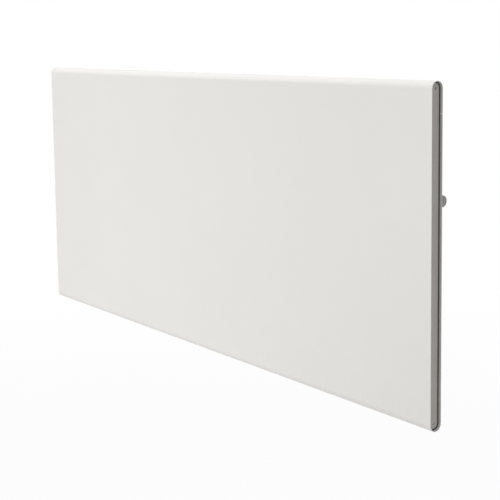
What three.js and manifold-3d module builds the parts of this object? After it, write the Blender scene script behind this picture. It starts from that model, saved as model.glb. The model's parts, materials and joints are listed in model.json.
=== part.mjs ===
// A wall-mounted electric panel heater: a slim painted front panel with rolled edges and recessed end
// caps, a convector housing and a control box behind it, and the wall bracket that it hangs on.
// Millimetres. X runs along the panel to its right end, +Y points into the wall and +Z is up.
// The origin is the middle of the bracket rail's back face, which lies on the wall.
import * as THREE from "three";
import { mergeVertices } from "three/addons/utils/BufferGeometryUtils.js";
import Module from "manifold-3d";

// Sizes of the whole heater
const panelLength = 820;
const panelHeight = 370;
const panelDepth = 16; // front face to rear face, and the diameter of the rolled edges
const housingDepth = 44; // rear face of the panel to the back of the convector housing
const standOff = 4; // back of the housing to the front edges of the bracket
const bracketDepth = 20; // front edges of the bracket to the wall
const sheet = 1; // painted steel of the panel and the housing

// Fits and counts that all pieces share
const gap = 0.3; // clearance between two pieces that touch
const overrun = 2; // how far a cut runs past the piece that it cuts
const weldLap = 0.5; // how far two forms of one piece run into each other
const mergeDistance = 1e-3; // vertices closer than this are one vertex
const arcSteps = 6; // half the segments of a rolled edge
const cornerSteps = 2; // half the segments of a rounded corner
const roundSides = 24;
const smallSides = 12;

// Front panel
const returnFlange = 26; // sheet turned in behind each rolled edge, past the roll
const seamLap = 9; // how far the rear sheet's seam strips reach in front of the return flanges
const seamEndInset = 24; // the seam strips stop this far from the panel's ends
const capRecess = 3.2; // the end caps' faces lie this far inside the panel's ends
const capFace = 2;
const capSkirt = 14; // depth of a cap from its face to the end of its skirt
const capWall = 1.6;
const capChamfer = 0.7;
const stiffenerWidth = 50;
const stiffenerFoot = 12;
const stiffenerInset = 170; // the outer stiffeners' middles, from the panel's ends
const ventLength = 30;
const ventWidth = 6;
const ventPitch = 46;
const ventEdge = 24; // rows of vents, from the housing's top and bottom edges
const ventMargin = 30; // first and last vent, from the housing's ends

// Convector housing
const housingLeftInset = 110; // the housing's left end, from the panel's left end
const housingEdgeInset = 40; // the housing's top and bottom, from the panel's top and bottom
const housingFlange = 14;
const grilleLip = 10;
const grilleSlot = 6;
const grilleBar = 6;
const grilleMargin = 7; // solid edge along each side of a grille
const screwHeadRadius = 3.4;
const screwHeadHeight = 1.8;
const screwRadius = 1.6;
const screwTail = 3; // length of a screw's tail past the sheet that it holds
const screwEdge = 8; // screws, from the housing's top and bottom edges

// Heating element
const elementDrop = 70; // the element's middle, below the panel's middle
const elementInset = 56; // the finned extrusion's ends, from the housing's ends
const finCount = 10;
const finPitch = 6;
const finThickness = 1.2;
const finAirGap = 8; // between the fins' tips and the channel's walls
const finWeb = 3;
const rodRadius = 4;
const rodSpacing = 30; // between the two legs of the hairpin
const rodTail = 24; // the hairpin's legs past the extrusion's right end
const bendLead = 10; // straight stretch between the extrusion's left end and the bend
const bossWall = 2;
const studRadius = 2;
const studLength = 8;
const bracketPlate = 1.5; // sheet of the element brackets
const bracketOffset = 4; // between the extrusion's ends and the element brackets
const bracketEdge = 8; // bracket plate round the bushes
const bracketFoot = 12;
const bushWall = 2.4;
const bushLength = 9;
const bushFlange = 1.8; // how far a bush's flange stands out, and its thickness
const cutoutRadius = 8;
const cutoutHeight = 7;
const cutoutPlate = 1.2;
const cutoutPlateLength = 28;
const cutoutInset = 110; // the thermal cut-out, from the housing's right end
const cutoutRise = 66; // the thermal cut-out, above the element's middle
const bladeWidth = 4.8;
const bladeThickness = 0.8;
const bladeLength = 7;

// Control box
const controlInset = 46; // the box's right face, from the panel's right end
const controlLength = 64;
const controlHeight = 160;
const controlRise = 10; // the box's bottom, above the element's middle
const controlProud = 2; // the box stands behind the housing's back by this much
const controlWall = 2;
const controlCorner = 3;
const coverPlate = 2.4;
const coverLip = 3;
const coverLipWall = 1.5;
const bossRadius = 3.5;
const bossBore = 1.5;
const coverScrewRadius = 1.2;
const coverScrewHead = 2.8;
const coverScrewLength = 14;
const boardThickness = 1.6;
const boardStandOff = 16; // the base's floor to the board
const boardEdge = 1.2; // air between the board's edges and the box's walls
const boardFoot = 48; // the board's bottom edge, above the box's bottom
const postRadius = 3;
const postPin = 1.4;
const postPinTail = 1; // post pins stand this far through the board
const postInset = 5; // posts, from the board's edges
const relaySize = new THREE.Vector3(16, 14, 28);
const transformerSize = new THREE.Vector3(18, 24, 26);
const capacitorRadius = 6;
const capacitorHeight = 14;
const partSpacing = 3; // between neighbours on the board

// Thermostat dial
const dialInset = 32; // the dial's outer face, from the panel's right end
const dialFromBack = 10; // the dial's axis, from the control box's rear face
const dialBelowTop = 47.3; // the dial's axis, below the control box's top
const dialRadius = 6.7;
const dialChamfer = 0.6;
const dialFlutes = 18;
const fluteDepth = 0.25;
const pointerHeight = 0.5;
const pointerWidth = 1.2;
const shaftRadius = 2.5;
const socketDepth = 8; // shaft in the dial, and shaft in the potentiometer
const collarRadius = 9;
const collarThickness = 2;
const collarNeck = 5; // radius of the collar's neck in the cover
const potRadius = 7;
const potHeight = 10;
const potSleeve = 3.8;
const potSleeveHeight = 7;

// Rocker switch and indicator
const switchDrop = 36; // the switch, below the dial's axis
const rockerReach = 9.2; // pivot to the rocker's ends
const rockerWidth = 11;
const rockerValley = 0.35; // height of the rocker's middle over its pivot
const rockerEndAngle = THREE.MathUtils.degToRad(10);
const rockerTilt = THREE.MathUtils.degToRad(8);
const rockerSink = 1; // the pivot, behind the bezel's face
const trunnionRadius = 1.2;
const trunnionLength = 0.9;
const switchWall = 1.4;
const switchBodyLength = 17; // behind the cover
const bezelThickness = 1.8;
const bezelRim = 1.6; // bezel past the switch body
const switchBladeSpacing = 7;
const lensRise = 24; // the indicator lens, above the dial's axis
const lensRadius = 2.6;
const lensRim = 1;
const lensRimThickness = 0.8;
const lensDome = 1.2;
const lensShoulderShare = 0.7; // of the lens's radius and of its dome
const lensStem = 7;

// Terminals, cable gland and room sensor
const terminalSize = new THREE.Vector3(15, 26, 14);
const terminalBore = 2;
const terminalPoles = 3;
const glandOffset = 30; // the gland's axis, from the housing's right end plate
const glandBore = 4.5;
const glandNeck = 6.2;
const glandFlange = 9.5; // half the width across the flats
const glandFlangeHeight = 3;
const locknutHeight = 3.5;
const domeHeight = 12;
const domeTip = 6.8; // outer radius at the dome nut's mouth
const domeMouth = 3; // depth of the dome nut's mouth
const sensorOffset = 51;
const sensorRadius = 2;
const sensorLength = 18;
const grommetWall = 1.8;
const grommetRim = 1.6;
const leadRadius = 1.2;
const leadSpacing = 3.2; // between the two leads in the grommet
const leadGrommetBore = 4;
const leadGrommetRise = 30; // the lead grommet, above the control box's bottom
const leadSteps = 18;
const leadSides = 8;
const leadSwing = 9; // how far a lead swings out before it turns

// Wall bracket, hangers and turn-locks
const bracketSheet = 1.5;
const uprightInset = 100; // the uprights' middles, from the housing's ends
const uprightWidth = 44;
const uprightDrop = 33; // the uprights' tops, below the housing's top
const uprightLift = 27; // the uprights' bottoms, above the housing's bottom
const wallSlotWidth = 6;
const wallSlotLength = 14;
const wallSlotEdge = 36; // wall screw slots, from the uprights' ends
const railHeight = 30;
const railDepth = 10;
const railEndDepth = 16;
const rivetRadius = 2;
const rivetHead = 3.6;
const rivetHeadHeight = 1.4;
const hangerWidth = 20;
const hangerLength = 90; // strap on the housing's back, below the hook
const hookOffset = 4; // the hook's middle, from the upright's middle towards the heater's middle
const hookLipDistance = 9; // the hook's lip, from the wall
const hookSlotSlack = 0.8; // at each end of the hook's lip in its slot
const hookLip = 9;
const lockOffset = 12; // the turn-lock's axis, from the upright's middle towards the heater's end
const lockDistance = 12; // the turn-lock's axis, from the wall
const lockPin = 3;
const lockHub = 4.6;
const lockHead = 5.6;
const lockHeadHeight = 3;
const lockCollar = 4.6;
const lockCollarHeight = 1.5;
const lockArmLength = 10.5;
const lockArmWidth = 7;
const lockArmThickness = 2.5;
const lockSlotWidth = 1.4;
const lockSlotDepth = 1.6;
const bumperRise = 50; // the bumpers, above the housing's bottom edge
const bumperBase = 10;
const bumperTip = 7;
const bumperBaseHeight = 3;

// Planes and places worked out from the sizes
const housingBackY = -(bracketDepth + standOff);
const rearY = housingBackY - housingDepth;
const frontY = rearY - panelDepth;
const endX = panelLength / 2;
const rollRadius = panelDepth / 2;
const rollY = frontY + rollRadius;
const rollZ = panelHeight / 2 - rollRadius; // middle of each rolled edge, above and below the middle
const seamZ = rollZ - returnFlange;
const housingLeftX = housingLeftInset - endX;
const coverX = endX - controlInset;
const housingRightX = coverX - controlLength;
const housingTopZ = panelHeight / 2 - housingEdgeInset;
const channelFrontY = rearY + gap;
const channelBackY = housingBackY - sheet - gap;
const elementY = (rearY + housingBackY - sheet) / 2;
const elementZ = -elementDrop;
const elementLeftX = housingLeftX + elementInset;
const elementRightX = housingRightX - elementInset;
const baseX = housingRightX + gap;
const controlFrontY = channelFrontY + sheet + gap;
const controlBackY = housingBackY + controlProud;
const controlY = (controlFrontY + controlBackY) / 2;
const controlBottomZ = elementZ + controlRise;
const controlTopZ = controlBottomZ + controlHeight;
const dialZ = controlTopZ - dialBelowTop;
const dialY = controlBackY - dialFromBack;
const floorX = baseX + controlWall;
const coverInnerX = coverX - coverPlate;
const boardX = floorX + boardStandOff + gap;
const boardFrontX = boardX + boardThickness;
const boardLowY = controlFrontY + controlWall + boardEdge;
const boardHighY = controlBackY - controlWall - boardEdge;
const bossInset = controlWall + bossRadius + gap;
const bossY = controlFrontY + bossInset;
const boardTopZ = controlTopZ - bossInset - bossRadius - gap;
const boardBottomZ = controlBottomZ + boardFoot;
const uprightTopZ = housingTopZ - uprightDrop;
const uprightBottomZ = uprightLift - housingTopZ;
const uprightXs = [housingLeftX + uprightInset, housingRightX - uprightInset];
const grommetZ = controlBottomZ + leadGrommetRise;
const cutoutX = housingRightX - cutoutInset;
const cutoutZ = elementZ + cutoutRise;

const wasm = await Module();
wasm.setup();

// Solids, joins and cuts

function solid(geometry) {
  const bare = new THREE.BufferGeometry();
  bare.setAttribute("position", geometry.getAttribute("position").clone());
  if (geometry.index) bare.setIndex(geometry.index.clone());
  const merged = mergeVertices(bare, mergeDistance);
  const mesh = new wasm.Mesh({
    numProp: 3,
    vertProperties: merged.getAttribute("position").array,
    triVerts: new Uint32Array(merged.index.array),
  });
  return new wasm.Manifold(mesh);
}

function geometryOf(manifold) {
  const mesh = manifold.getMesh();
  const geometry = new THREE.BufferGeometry();
  geometry.setAttribute("position", new THREE.BufferAttribute(mesh.vertProperties, 3));
  geometry.setIndex(new THREE.BufferAttribute(mesh.triVerts, 1));
  geometry.computeVertexNormals();
  return geometry;
}

function join(...geometries) {
  return geometryOf(geometries.map(solid).reduce((whole, next) => whole.add(next)));
}

function cut(geometry, ...tools) {
  return geometryOf(tools.map(solid).reduce((rest, tool) => rest.subtract(tool), solid(geometry)));
}

// Basic forms

const axes = { X: new THREE.Vector3(1, 0, 0), Y: new THREE.Vector3(0, 1, 0), Z: new THREE.Vector3(0, 0, 1) };

function block(x0, x1, y0, y1, z0, z1) {
  const geometry = new THREE.BoxGeometry(x1 - x0, y1 - y0, z1 - z0);
  return geometry.translate((x0 + x1) / 2, (y0 + y1) / 2, (z0 + z1) / 2);
}

// A shape run along an axis: drawn in Y and Z for X, in Z and X for Y, and in X and Y for Z.
function extrude(shape, axis, from, to, curveSegments = arcSteps) {
  const options = { depth: to - from, bevelEnabled: false, curveSegments };
  const order = { X: ["Y", "Z", "X"], Y: ["Z", "X", "Y"], Z: ["X", "Y", "Z"] }[axis];
  const turn = new THREE.Matrix4().makeBasis(...order.map((name) => axes[name]));
  const geometry = new THREE.ExtrudeGeometry(shape, options).applyMatrix4(turn);
  return geometry.translate(...axes[axis].clone().multiplyScalar(from).toArray());
}

function polygon(points) {
  return new THREE.Shape(points.map(([u, v]) => new THREE.Vector2(u, v)));
}

function roundedRectangle(u0, u1, v0, v1, radius) {
  const shape = new THREE.Shape();
  shape.absarc(u1 - radius, v0 + radius, radius, -Math.PI / 2, 0, false);
  shape.absarc(u1 - radius, v1 - radius, radius, 0, Math.PI / 2, false);
  shape.absarc(u0 + radius, v1 - radius, radius, Math.PI / 2, Math.PI, false);
  shape.absarc(u0 + radius, v0 + radius, radius, Math.PI, (3 * Math.PI) / 2, false);
  return shape;
}

function circle(u, v, radius) {
  return new THREE.Path().absarc(u, v, radius, 0, 2 * Math.PI, false);
}

// A regular outline with flats, such as a nut's, from half its width across the flats.
function flats(count, halfWidth) {
  const radius = halfWidth / Math.cos(Math.PI / count);
  const angles = Array.from({ length: count }, (_, i) => (2 * Math.PI * i) / count);
  return polygon(angles.map((a) => [radius * Math.cos(a), radius * Math.sin(a)]));
}

// A turned form on an axis through the local origin. Its profile lists radius and height, anticlockwise.
function turned(axis, profile, sides = roundSides) {
  const points = profile.map(([radius, height]) => new THREE.Vector2(radius, height));
  const geometry = new THREE.LatheGeometry(points, sides);
  if (axis === "X") geometry.rotateZ(-Math.PI / 2);
  if (axis === "Z") geometry.rotateX(Math.PI / 2);
  return geometry;
}

function rod(axis, radius, from, to, sides = roundSides) {
  return turned(axis, [[0, from], [radius, from], [radius, to], [0, to]], sides);
}

function tube(points, radius, steps, sides) {
  const path = new THREE.CatmullRomCurve3(points.map((p) => new THREE.Vector3(...p)), false, "centripetal");
  const section = new THREE.Shape(circle(0, 0, radius).getPoints(sides / 2));
  return new THREE.ExtrudeGeometry(section, { steps, extrudePath: path });
}

// Finishes

function finish(color, roughness, metalness = 0) {
  return () => new THREE.MeshStandardMaterial({ color, roughness, metalness });
}

const whitePaint = finish(0xe6e5e1, 0.35);
const greyPlastic = finish(0xa6a29c, 0.6);
const paleGreyPlastic = finish(0xb4b0aa, 0.55);
const darkPlastic = finish(0x3a3a3c, 0.55);
const whitePlastic = finish(0xdedcd6, 0.5);
const zincSteel = finish(0xb9bcbe, 0.4, 0.9);
const aluminium = finish(0xc6c9cb, 0.4, 1);
const steelTube = finish(0x8e8c88, 0.45, 0.9);
const ceramic = finish(0xe9e4d8, 0.6);
const boardGreen = finish(0x2f6b46, 0.6);
const blackRubber = finish(0x262626, 0.8);
const redLens = finish(0xb3261c, 0.2);
const leadBrown = finish(0x6b4a32, 0.6);
const leadBlue = finish(0x2d5f9a, 0.6);

// The model

const heater = new THREE.Group();

function group(parent = heater) {
  const made = new THREE.Group();
  parent.add(made);
  return made;
}

function piece(parent, name, geometry, material, place = [0, 0, 0]) {
  const mesh = new THREE.Mesh(geometry, material());
  mesh.name = name;
  mesh.position.set(...place);
  parent.add(mesh);
  return mesh;
}

// The panel's racetrack section, drawn in Y and Z, with its outline moved in by an inset.
function racetrack(inset) {
  const shape = new THREE.Shape();
  shape.absarc(rollY, rollZ, rollRadius - inset, 0, Math.PI, false);
  shape.absarc(rollY, -rollZ, rollRadius - inset, Math.PI, 2 * Math.PI, false);
  return shape;
}

// One sheet from return flange to return flange: over the top roll, down the front, round the bottom roll.
function frontShell() {
  const shape = new THREE.Shape();
  const innerRadius = rollRadius - sheet;
  shape.moveTo(rearY, seamZ);
  shape.lineTo(rearY, rollZ);
  shape.absarc(rollY, rollZ, rollRadius, 0, Math.PI, false);
  shape.absarc(rollY, -rollZ, rollRadius, Math.PI, 2 * Math.PI, false);
  shape.lineTo(rearY, -seamZ);
  shape.lineTo(rearY - sheet, -seamZ);
  shape.absarc(rollY, -rollZ, innerRadius, 2 * Math.PI, Math.PI, true);
  shape.absarc(rollY, rollZ, innerRadius, Math.PI, 0, true);
  shape.lineTo(rearY - sheet, seamZ);
  return extrude(shape, "X", -endX, endX);
}

const screwZs = [-1, 1].map((side) => side * (housingTopZ - screwEdge));
const screwXs = [housingLeftX - housingFlange / 2, housingRightX + housingFlange / 2];

function screwHole(x, z, fromY, toY) {
  return rod("Y", screwRadius + gap, fromY, toY, smallSides).translate(x, 0, z);
}

function rearSheet() {
  const edgeZ = seamZ - gap;
  const [cutFromY, cutToY] = [rearY - sheet - overrun, rearY + overrun];
  const cuts = screwZs.flatMap((z) => screwXs.map((x) => screwHole(x, z, cutFromY, cutToY)));
  const first = housingLeftX + ventMargin;
  const last = housingRightX - ventMargin - ventLength;
  for (let x = first; x <= last; x += ventPitch) {
    for (const z of [ventEdge - housingTopZ, housingTopZ - ventEdge]) {
      cuts.push(block(x, x + ventLength, cutFromY, cutToY, z - ventWidth / 2, z + ventWidth / 2));
    }
  }
  const stripX = endX - seamEndInset;
  const stripFrontY = rearY - 2 * sheet - gap;
  const strips = [-1, 1].map((side) => {
    const section = [
      [stripFrontY, edgeZ - seamLap],
      [rearY - sheet + weldLap, edgeZ - seamLap],
      [rearY - sheet + weldLap, edgeZ],
      [stripFrontY + sheet, edgeZ],
      [stripFrontY + sheet, edgeZ + seamLap],
      [stripFrontY, edgeZ + seamLap],
    ];
    return extrude(polygon(section.map(([y, z]) => [y, side * z])), "X", -stripX, stripX);
  });
  return cut(join(block(-endX, endX, rearY - sheet, rearY, -edgeZ, edgeZ), ...strips), ...cuts);
}

// A recessed cap, drawn for the right end with the panel's end at local X zero.
function endCap() {
  const outline = racetrack(sheet + gap);
  const faceX = -capRecess;
  const skirt = extrude(outline, "X", faceX - capSkirt, faceX - capChamfer);
  const hollow = extrude(racetrack(sheet + gap + capWall), "X", faceX - capSkirt - overrun, faceX - capFace);
  const options = {
    depth: capFace - 2 * capChamfer,
    bevelSize: capChamfer,
    bevelOffset: -capChamfer,
    bevelThickness: capChamfer,
    bevelSegments: 1,
    curveSegments: arcSteps,
  };
  const face = new THREE.ExtrudeGeometry(outline, options);
  face.applyMatrix4(new THREE.Matrix4().makeBasis(axes.Y, axes.Z, axes.X));
  face.translate(faceX - capFace + capChamfer, 0, 0);
  return join(cut(skirt, hollow), face);
}

// A hat-section channel between the front sheet and the rear sheet.
function stiffener() {
  const half = stiffenerWidth / 2;
  const y0 = frontY + sheet + gap;
  const y1 = rearY - sheet - gap;
  const shape = polygon([
    [-half - stiffenerFoot, y1],
    [-half - stiffenerFoot, y1 - sheet],
    [-half, y1 - sheet],
    [-half, y0],
    [half, y0],
    [half, y1 - sheet],
    [half + stiffenerFoot, y1 - sheet],
    [half + stiffenerFoot, y1],
    [half - sheet, y1],
    [half - sheet, y0 + sheet],
    [sheet - half, y0 + sheet],
    [sheet - half, y1],
  ]);
  const reach = seamZ - seamLap - 2 * gap;
  return extrude(shape, "Z", -reach, reach);
}

const panel = group();
piece(panel, "front_shell", frontShell(), whitePaint);
piece(panel, "rear_sheet", rearSheet(), whitePaint);
piece(panel, "end_cap_right", endCap(), greyPlastic, [endX, 0, 0]);
piece(panel, "end_cap_left", endCap(), greyPlastic, [-endX, 0, 0]).scale.x = -1;
["left", "centre", "right"].forEach((name, i) => {
  piece(panel, `stiffener_${name}`, stiffener(), zincSteel, [(i - 1) * (endX - stiffenerInset), 0, 0]);
});

// Convector housing

function housingBack() {
  const [y0, y1] = [housingBackY - sheet, housingBackY];
  return block(housingLeftX, housingRightX, y0, y1, -housingTopZ, housingTopZ);
}

// An end plate with its outer face at local X zero: a flange out on the panel, a flange in under the back.
function housingEnd(side) {
  const y0 = channelFrontY;
  const y1 = channelBackY;
  const web = polygon([
    [-sheet, y0],
    [housingFlange, y0],
    [housingFlange, y0 + sheet],
    [0, y0 + sheet],
    [0, y1],
    [-sheet, y1],
  ]);
  const rearZ = housingTopZ - grilleLip - gap;
  const rearFlange = block(-housingFlange, -sheet + weldLap, y1 - sheet, y1, -rearZ, rearZ);
  const holes = screwZs.map((z) => screwHole(housingFlange / 2, z, y0 - overrun, y0 + sheet + overrun));
  const plate = cut(join(extrude(web, "Z", -housingTopZ, housingTopZ), rearFlange), ...holes);
  if (side < 0) return plate;
  const leadHole = rod("X", leadGrommetBore + grommetWall + gap, -sheet - overrun, overrun);
  return cut(plate, leadHole.translate(0, controlY, grommetZ));
}

// A slotted strip with a lip down each side, drawn with its outer face at local Z zero.
function grille() {
  const x0 = housingLeftX + sheet + gap;
  const x1 = housingRightX - sheet - gap;
  const [y0, y1] = [channelFrontY, channelBackY];
  const channel = polygon([
    [y0, -grilleLip],
    [y0 + sheet, -grilleLip],
    [y0 + sheet, -sheet],
    [y1 - sheet, -sheet],
    [y1 - sheet, -grilleLip],
    [y1, -grilleLip],
    [y1, 0],
    [y0, 0],
  ]);
  const pitch = grilleSlot + grilleBar;
  const count = Math.floor((x1 - x0 - grilleBar) / pitch);
  const start = (x0 + x1 - count * pitch + grilleBar) / 2;
  const slots = Array.from({ length: count }, (_, i) => {
    const x = start + i * pitch;
    return block(x, x + grilleSlot, y0 + grilleMargin, y1 - grilleMargin, -sheet - overrun, overrun);
  });
  return cut(extrude(channel, "X", x0, x1), ...slots);
}

function housingScrew() {
  const length = 2 * sheet + 2 * gap + screwTail;
  return turned("Y", [
    [0, -length],
    [screwRadius, -length],
    [screwRadius, 0],
    [screwHeadRadius, 0],
    [screwHeadRadius, screwHeadHeight / 2],
    [screwHeadRadius / 2, screwHeadHeight],
    [0, screwHeadHeight],
  ], smallSides);
}

const convector = group();
piece(convector, "housing_back", housingBack(), whitePaint);
piece(convector, "housing_end_right", housingEnd(1), zincSteel, [housingRightX, 0, 0]);
piece(convector, "housing_end_left", housingEnd(-1), zincSteel, [housingLeftX, 0, 0]).scale.x = -1;
piece(convector, "outlet_grille", grille(), whitePaint, [0, 0, housingTopZ]);
piece(convector, "inlet_grille", grille(), whitePaint, [0, 0, -housingTopZ]).scale.z = -1;
const screwSeatY = channelFrontY + sheet + gap;
screwXs.forEach((x, i) => {
  screwZs.forEach((z, j) => {
    piece(convector, `housing_screw_${2 * i + j + 1}`, housingScrew(), zincSteel, [x, screwSeatY, z]);
  });
});

// Heating element, built round its own middle line and placed in the channel

const rodZs = [rodSpacing / 2, -rodSpacing / 2];

function elementExtrusion() {
  const reach = (housingDepth - sheet) / 2 - finAirGap;
  const outline = [];
  for (const side of [1, -1]) {
    for (let i = 0; i < finCount; i += 1) {
      const z = side * (i - (finCount - 1) / 2) * finPitch;
      const half = (side * finThickness) / 2;
      outline.push([(side * finWeb) / 2, z - half], [side * reach, z - half]);
      outline.push([side * reach, z + half], [(side * finWeb) / 2, z + half]);
    }
  }
  const bore = rodRadius + gap;
  const bosses = rodZs.map((z) => rod("X", bore + bossWall, elementLeftX, elementRightX).translate(0, 0, z));
  const bores = rodZs.map((z) => {
    return rod("X", bore, elementLeftX - overrun, elementRightX + overrun).translate(0, 0, z);
  });
  return cut(join(extrude(polygon(outline), "X", elementLeftX, elementRightX), ...bosses), ...bores);
}

// Half a turn to the left that joins the ends of the two legs.
class ElementBend extends THREE.Curve {
  getPoint(t, target = new THREE.Vector3()) {
    const angle = Math.PI * t;
    const radius = rodSpacing / 2;
    return target.set(elementLeftX - bendLead - radius * Math.sin(angle), 0, radius * Math.cos(angle));
  }
}

function elementHairpin() {
  const section = new THREE.Shape(circle(0, 0, rodRadius).getPoints(smallSides / 2));
  const bend = new THREE.ExtrudeGeometry(section, { steps: arcSteps, extrudePath: new ElementBend() });
  const endRight = elementRightX + rodTail;
  const legs = rodZs.flatMap((z) => [
    rod("X", rodRadius, elementLeftX - bendLead - weldLap, endRight, smallSides).translate(0, 0, z),
    rod("X", studRadius, endRight - weldLap, endRight + studLength, smallSides).translate(0, 0, z),
  ]);
  return join(bend, ...legs);
}

// A plate across the hairpin's legs with a foot on the housing's back; local X zero is its inner face.
function elementBracket(holeRadius) {
  const reach = rodRadius + gap + bushWall + gap + bracketEdge;
  const backY = channelBackY - elementY;
  const profile = polygon([
    [0, -reach],
    [bracketPlate, -reach],
    [bracketPlate, backY - bracketPlate],
    [bracketFoot, backY - bracketPlate],
    [bracketFoot, backY],
    [0, backY],
  ]);
  const halfHeight = rodSpacing / 2 + reach;
  const holes = rodZs.map((z) => {
    return rod("X", holeRadius, -overrun, bracketPlate + overrun).translate(0, 0, z);
  });
  return cut(extrude(profile, "Z", -halfHeight, halfHeight), ...holes);
}

function elementBush() {
  const inner = rodRadius + gap;
  const outer = inner + bushWall;
  const seat = bracketPlate + gap;
  const profile = [
    [inner, -(bushLength - seat) / 2],
    [outer, -(bushLength - seat) / 2],
    [outer, seat],
    [outer + bushFlange, seat],
    [outer + bushFlange, seat + bushFlange],
    [outer, seat + bushFlange],
    [outer, bushLength],
    [inner, bushLength],
    [inner, -(bushLength - seat) / 2],
  ];
  return turned("X", profile, smallSides);
}

// A bimetal cut-out on the housing's back, facing the panel, with two blades.
function thermalCutout() {
  const half = cutoutPlateLength / 2;
  const plate = block(-half, half, -cutoutPlate, 0, -cutoutRadius, cutoutRadius);
  const can = rod("Y", cutoutRadius, -cutoutHeight, 0);
  const blades = [-1, 1].map((side) => {
    const z = (side * cutoutRadius) / 2;
    const [low, high] = [z - bladeThickness / 2, z + bladeThickness / 2];
    const tipY = -cutoutHeight - bladeLength;
    return block(-bladeWidth / 2, bladeWidth / 2, tipY, weldLap - cutoutHeight, low, high);
  });
  return join(plate, can, ...blades);
}

const element = group(convector);
element.position.set(0, elementY, elementZ);
piece(element, "element_extrusion", elementExtrusion(), aluminium);
piece(element, "element_hairpin", elementHairpin(), steelTube);
const rightBracketX = elementRightX + bracketOffset;
const leftBracketX = elementLeftX - bracketOffset;
const bushedBracket = elementBracket(rodRadius + gap + bushWall + gap);
const bareBracket = elementBracket(rodRadius + gap);
piece(element, "element_bracket_right", bushedBracket, zincSteel, [rightBracketX, 0, 0]);
piece(element, "element_bracket_left", bareBracket, zincSteel, [leftBracketX, 0, 0]).scale.x = -1;
["upper", "lower"].forEach((name, i) => {
  piece(element, `element_bush_${name}`, elementBush(), ceramic, [rightBracketX, 0, rodZs[i]]);
});
piece(convector, "thermal_cutout", thermalCutout(), darkPlastic, [cutoutX, channelBackY, cutoutZ]);

// Leads: control box to cut-out, cut-out to the element's upper stud, lower stud to the control box

const grommetNeck = leadGrommetBore + grommetWall;
const grommetLeftX = housingRightX - sheet - gap - grommetRim;
const grommetRightX = floorX + gap + grommetRim;
const studTipX = elementRightX + rodTail + studLength + gap;
const bladeTipY = channelBackY - cutoutHeight - bladeLength - gap;
const terminalTopZ = controlBottomZ + controlWall + gap + terminalSize.z;

// A lead's stretch from the terminals through the grommet, on its upper or lower side.
function leadInBox(side) {
  const z = grommetZ + (side * leadSpacing) / 2;
  const x = floorX + leadSwing + side * leadSpacing;
  return [
    [x, controlY, terminalTopZ + gap],
    [x, controlY, (terminalTopZ + z) / 2],
    [(x + grommetRightX) / 2, controlY, z - leadRadius],
    [grommetRightX + leadRadius, controlY, z],
    [housingRightX, controlY, z],
    [grommetLeftX - leadRadius, controlY, z],
  ];
}

function leadAtStud(rodZ) {
  const z = elementZ + rodZ;
  return [[studTipX + leadSwing / 2, elementY, z], [studTipX, elementY, z]];
}

function leadAtBlade(side) {
  const z = cutoutZ + (side * cutoutRadius) / 2;
  const out = bladeTipY - leadSwing / 2;
  return [[cutoutX + leadSwing / 4, out, z], [cutoutX, bladeTipY - leadRadius, z], [cutoutX, bladeTipY, z]];
}

const liveRoute = [
  ...leadInBox(1),
  [housingRightX - 2 * leadSwing, controlY, grommetZ + leadSwing],
  [(housingRightX + cutoutX) / 2, elementY, (grommetZ + cutoutZ) / 2 + leadSwing],
  ...leadAtBlade(1),
];
const neutralRoute = [
  ...leadInBox(-1),
  [studTipX + leadSwing + 2 * leadRadius, elementY, elementZ + rodSpacing],
  [studTipX + leadSwing, elementY, elementZ],
  ...leadAtStud(rodZs[1]),
];
const linkRoute = [
  ...leadAtStud(rodZs[0]).reverse(),
  [studTipX + leadSwing / 2, elementY, elementZ + rodSpacing],
  [studTipX - leadSwing, elementY, elementZ + rodSpacing + leadSwing],
  [(studTipX + cutoutX) / 2, elementY, cutoutZ - 2 * leadSwing],
  ...leadAtBlade(-1),
];

function lead(route) {
  return tube(route, leadRadius, leadSteps, leadSides);
}

// A rubber grommet between the end plate and the control box's floor.
function leadGrommet() {
  const rim = grommetNeck + grommetRim;
  return turned("X", [
    [leadGrommetBore, grommetLeftX],
    [rim, grommetLeftX],
    [rim, grommetLeftX + grommetRim],
    [grommetNeck, grommetLeftX + grommetRim],
    [grommetNeck, grommetRightX - grommetRim],
    [rim, grommetRightX - grommetRim],
    [rim, grommetRightX],
    [leadGrommetBore, grommetRightX],
    [leadGrommetBore, grommetLeftX],
  ], smallSides);
}

piece(convector, "lead_live", lead(liveRoute), leadBrown);
piece(convector, "lead_neutral", lead(neutralRoute), leadBlue);
piece(convector, "lead_link", lead(linkRoute), leadBrown);
piece(convector, "lead_grommet", leadGrommet(), blackRubber, [0, controlY, grommetZ]);

// Control box: a base on the housing's right end plate, and a cover that faces the panel's right end

const bossZs = [controlTopZ - bossInset, controlBottomZ + bossInset];
const bossEndX = coverInnerX - coverLip - gap;
const postYs = [boardLowY + postInset, boardHighY - postInset];
const postZs = [boardBottomZ + postInset, boardTopZ - postInset];
const glandX = housingRightX + glandOffset;
const sensorX = housingRightX + sensorOffset;
const sensorGrommetNeck = sensorRadius + gap + grommetWall;
const switchZ = dialZ - switchDrop;
const lensZ = dialZ + lensRise;
const cavityHalfY = rockerWidth / 2 + gap;
const cavityHalfZ = rockerReach + gap;
const switchHalfY = cavityHalfY + switchWall;
const switchHalfZ = cavityHalfZ + switchWall;

// The box's outline in Y and Z, moved in by an inset.
function controlOutline(inset) {
  const corner = Math.max(controlCorner - inset, mergeDistance);
  const [y0, y1] = [controlFrontY + inset, controlBackY - inset];
  return roundedRectangle(y0, y1, controlBottomZ + inset, controlTopZ - inset, corner);
}

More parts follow.
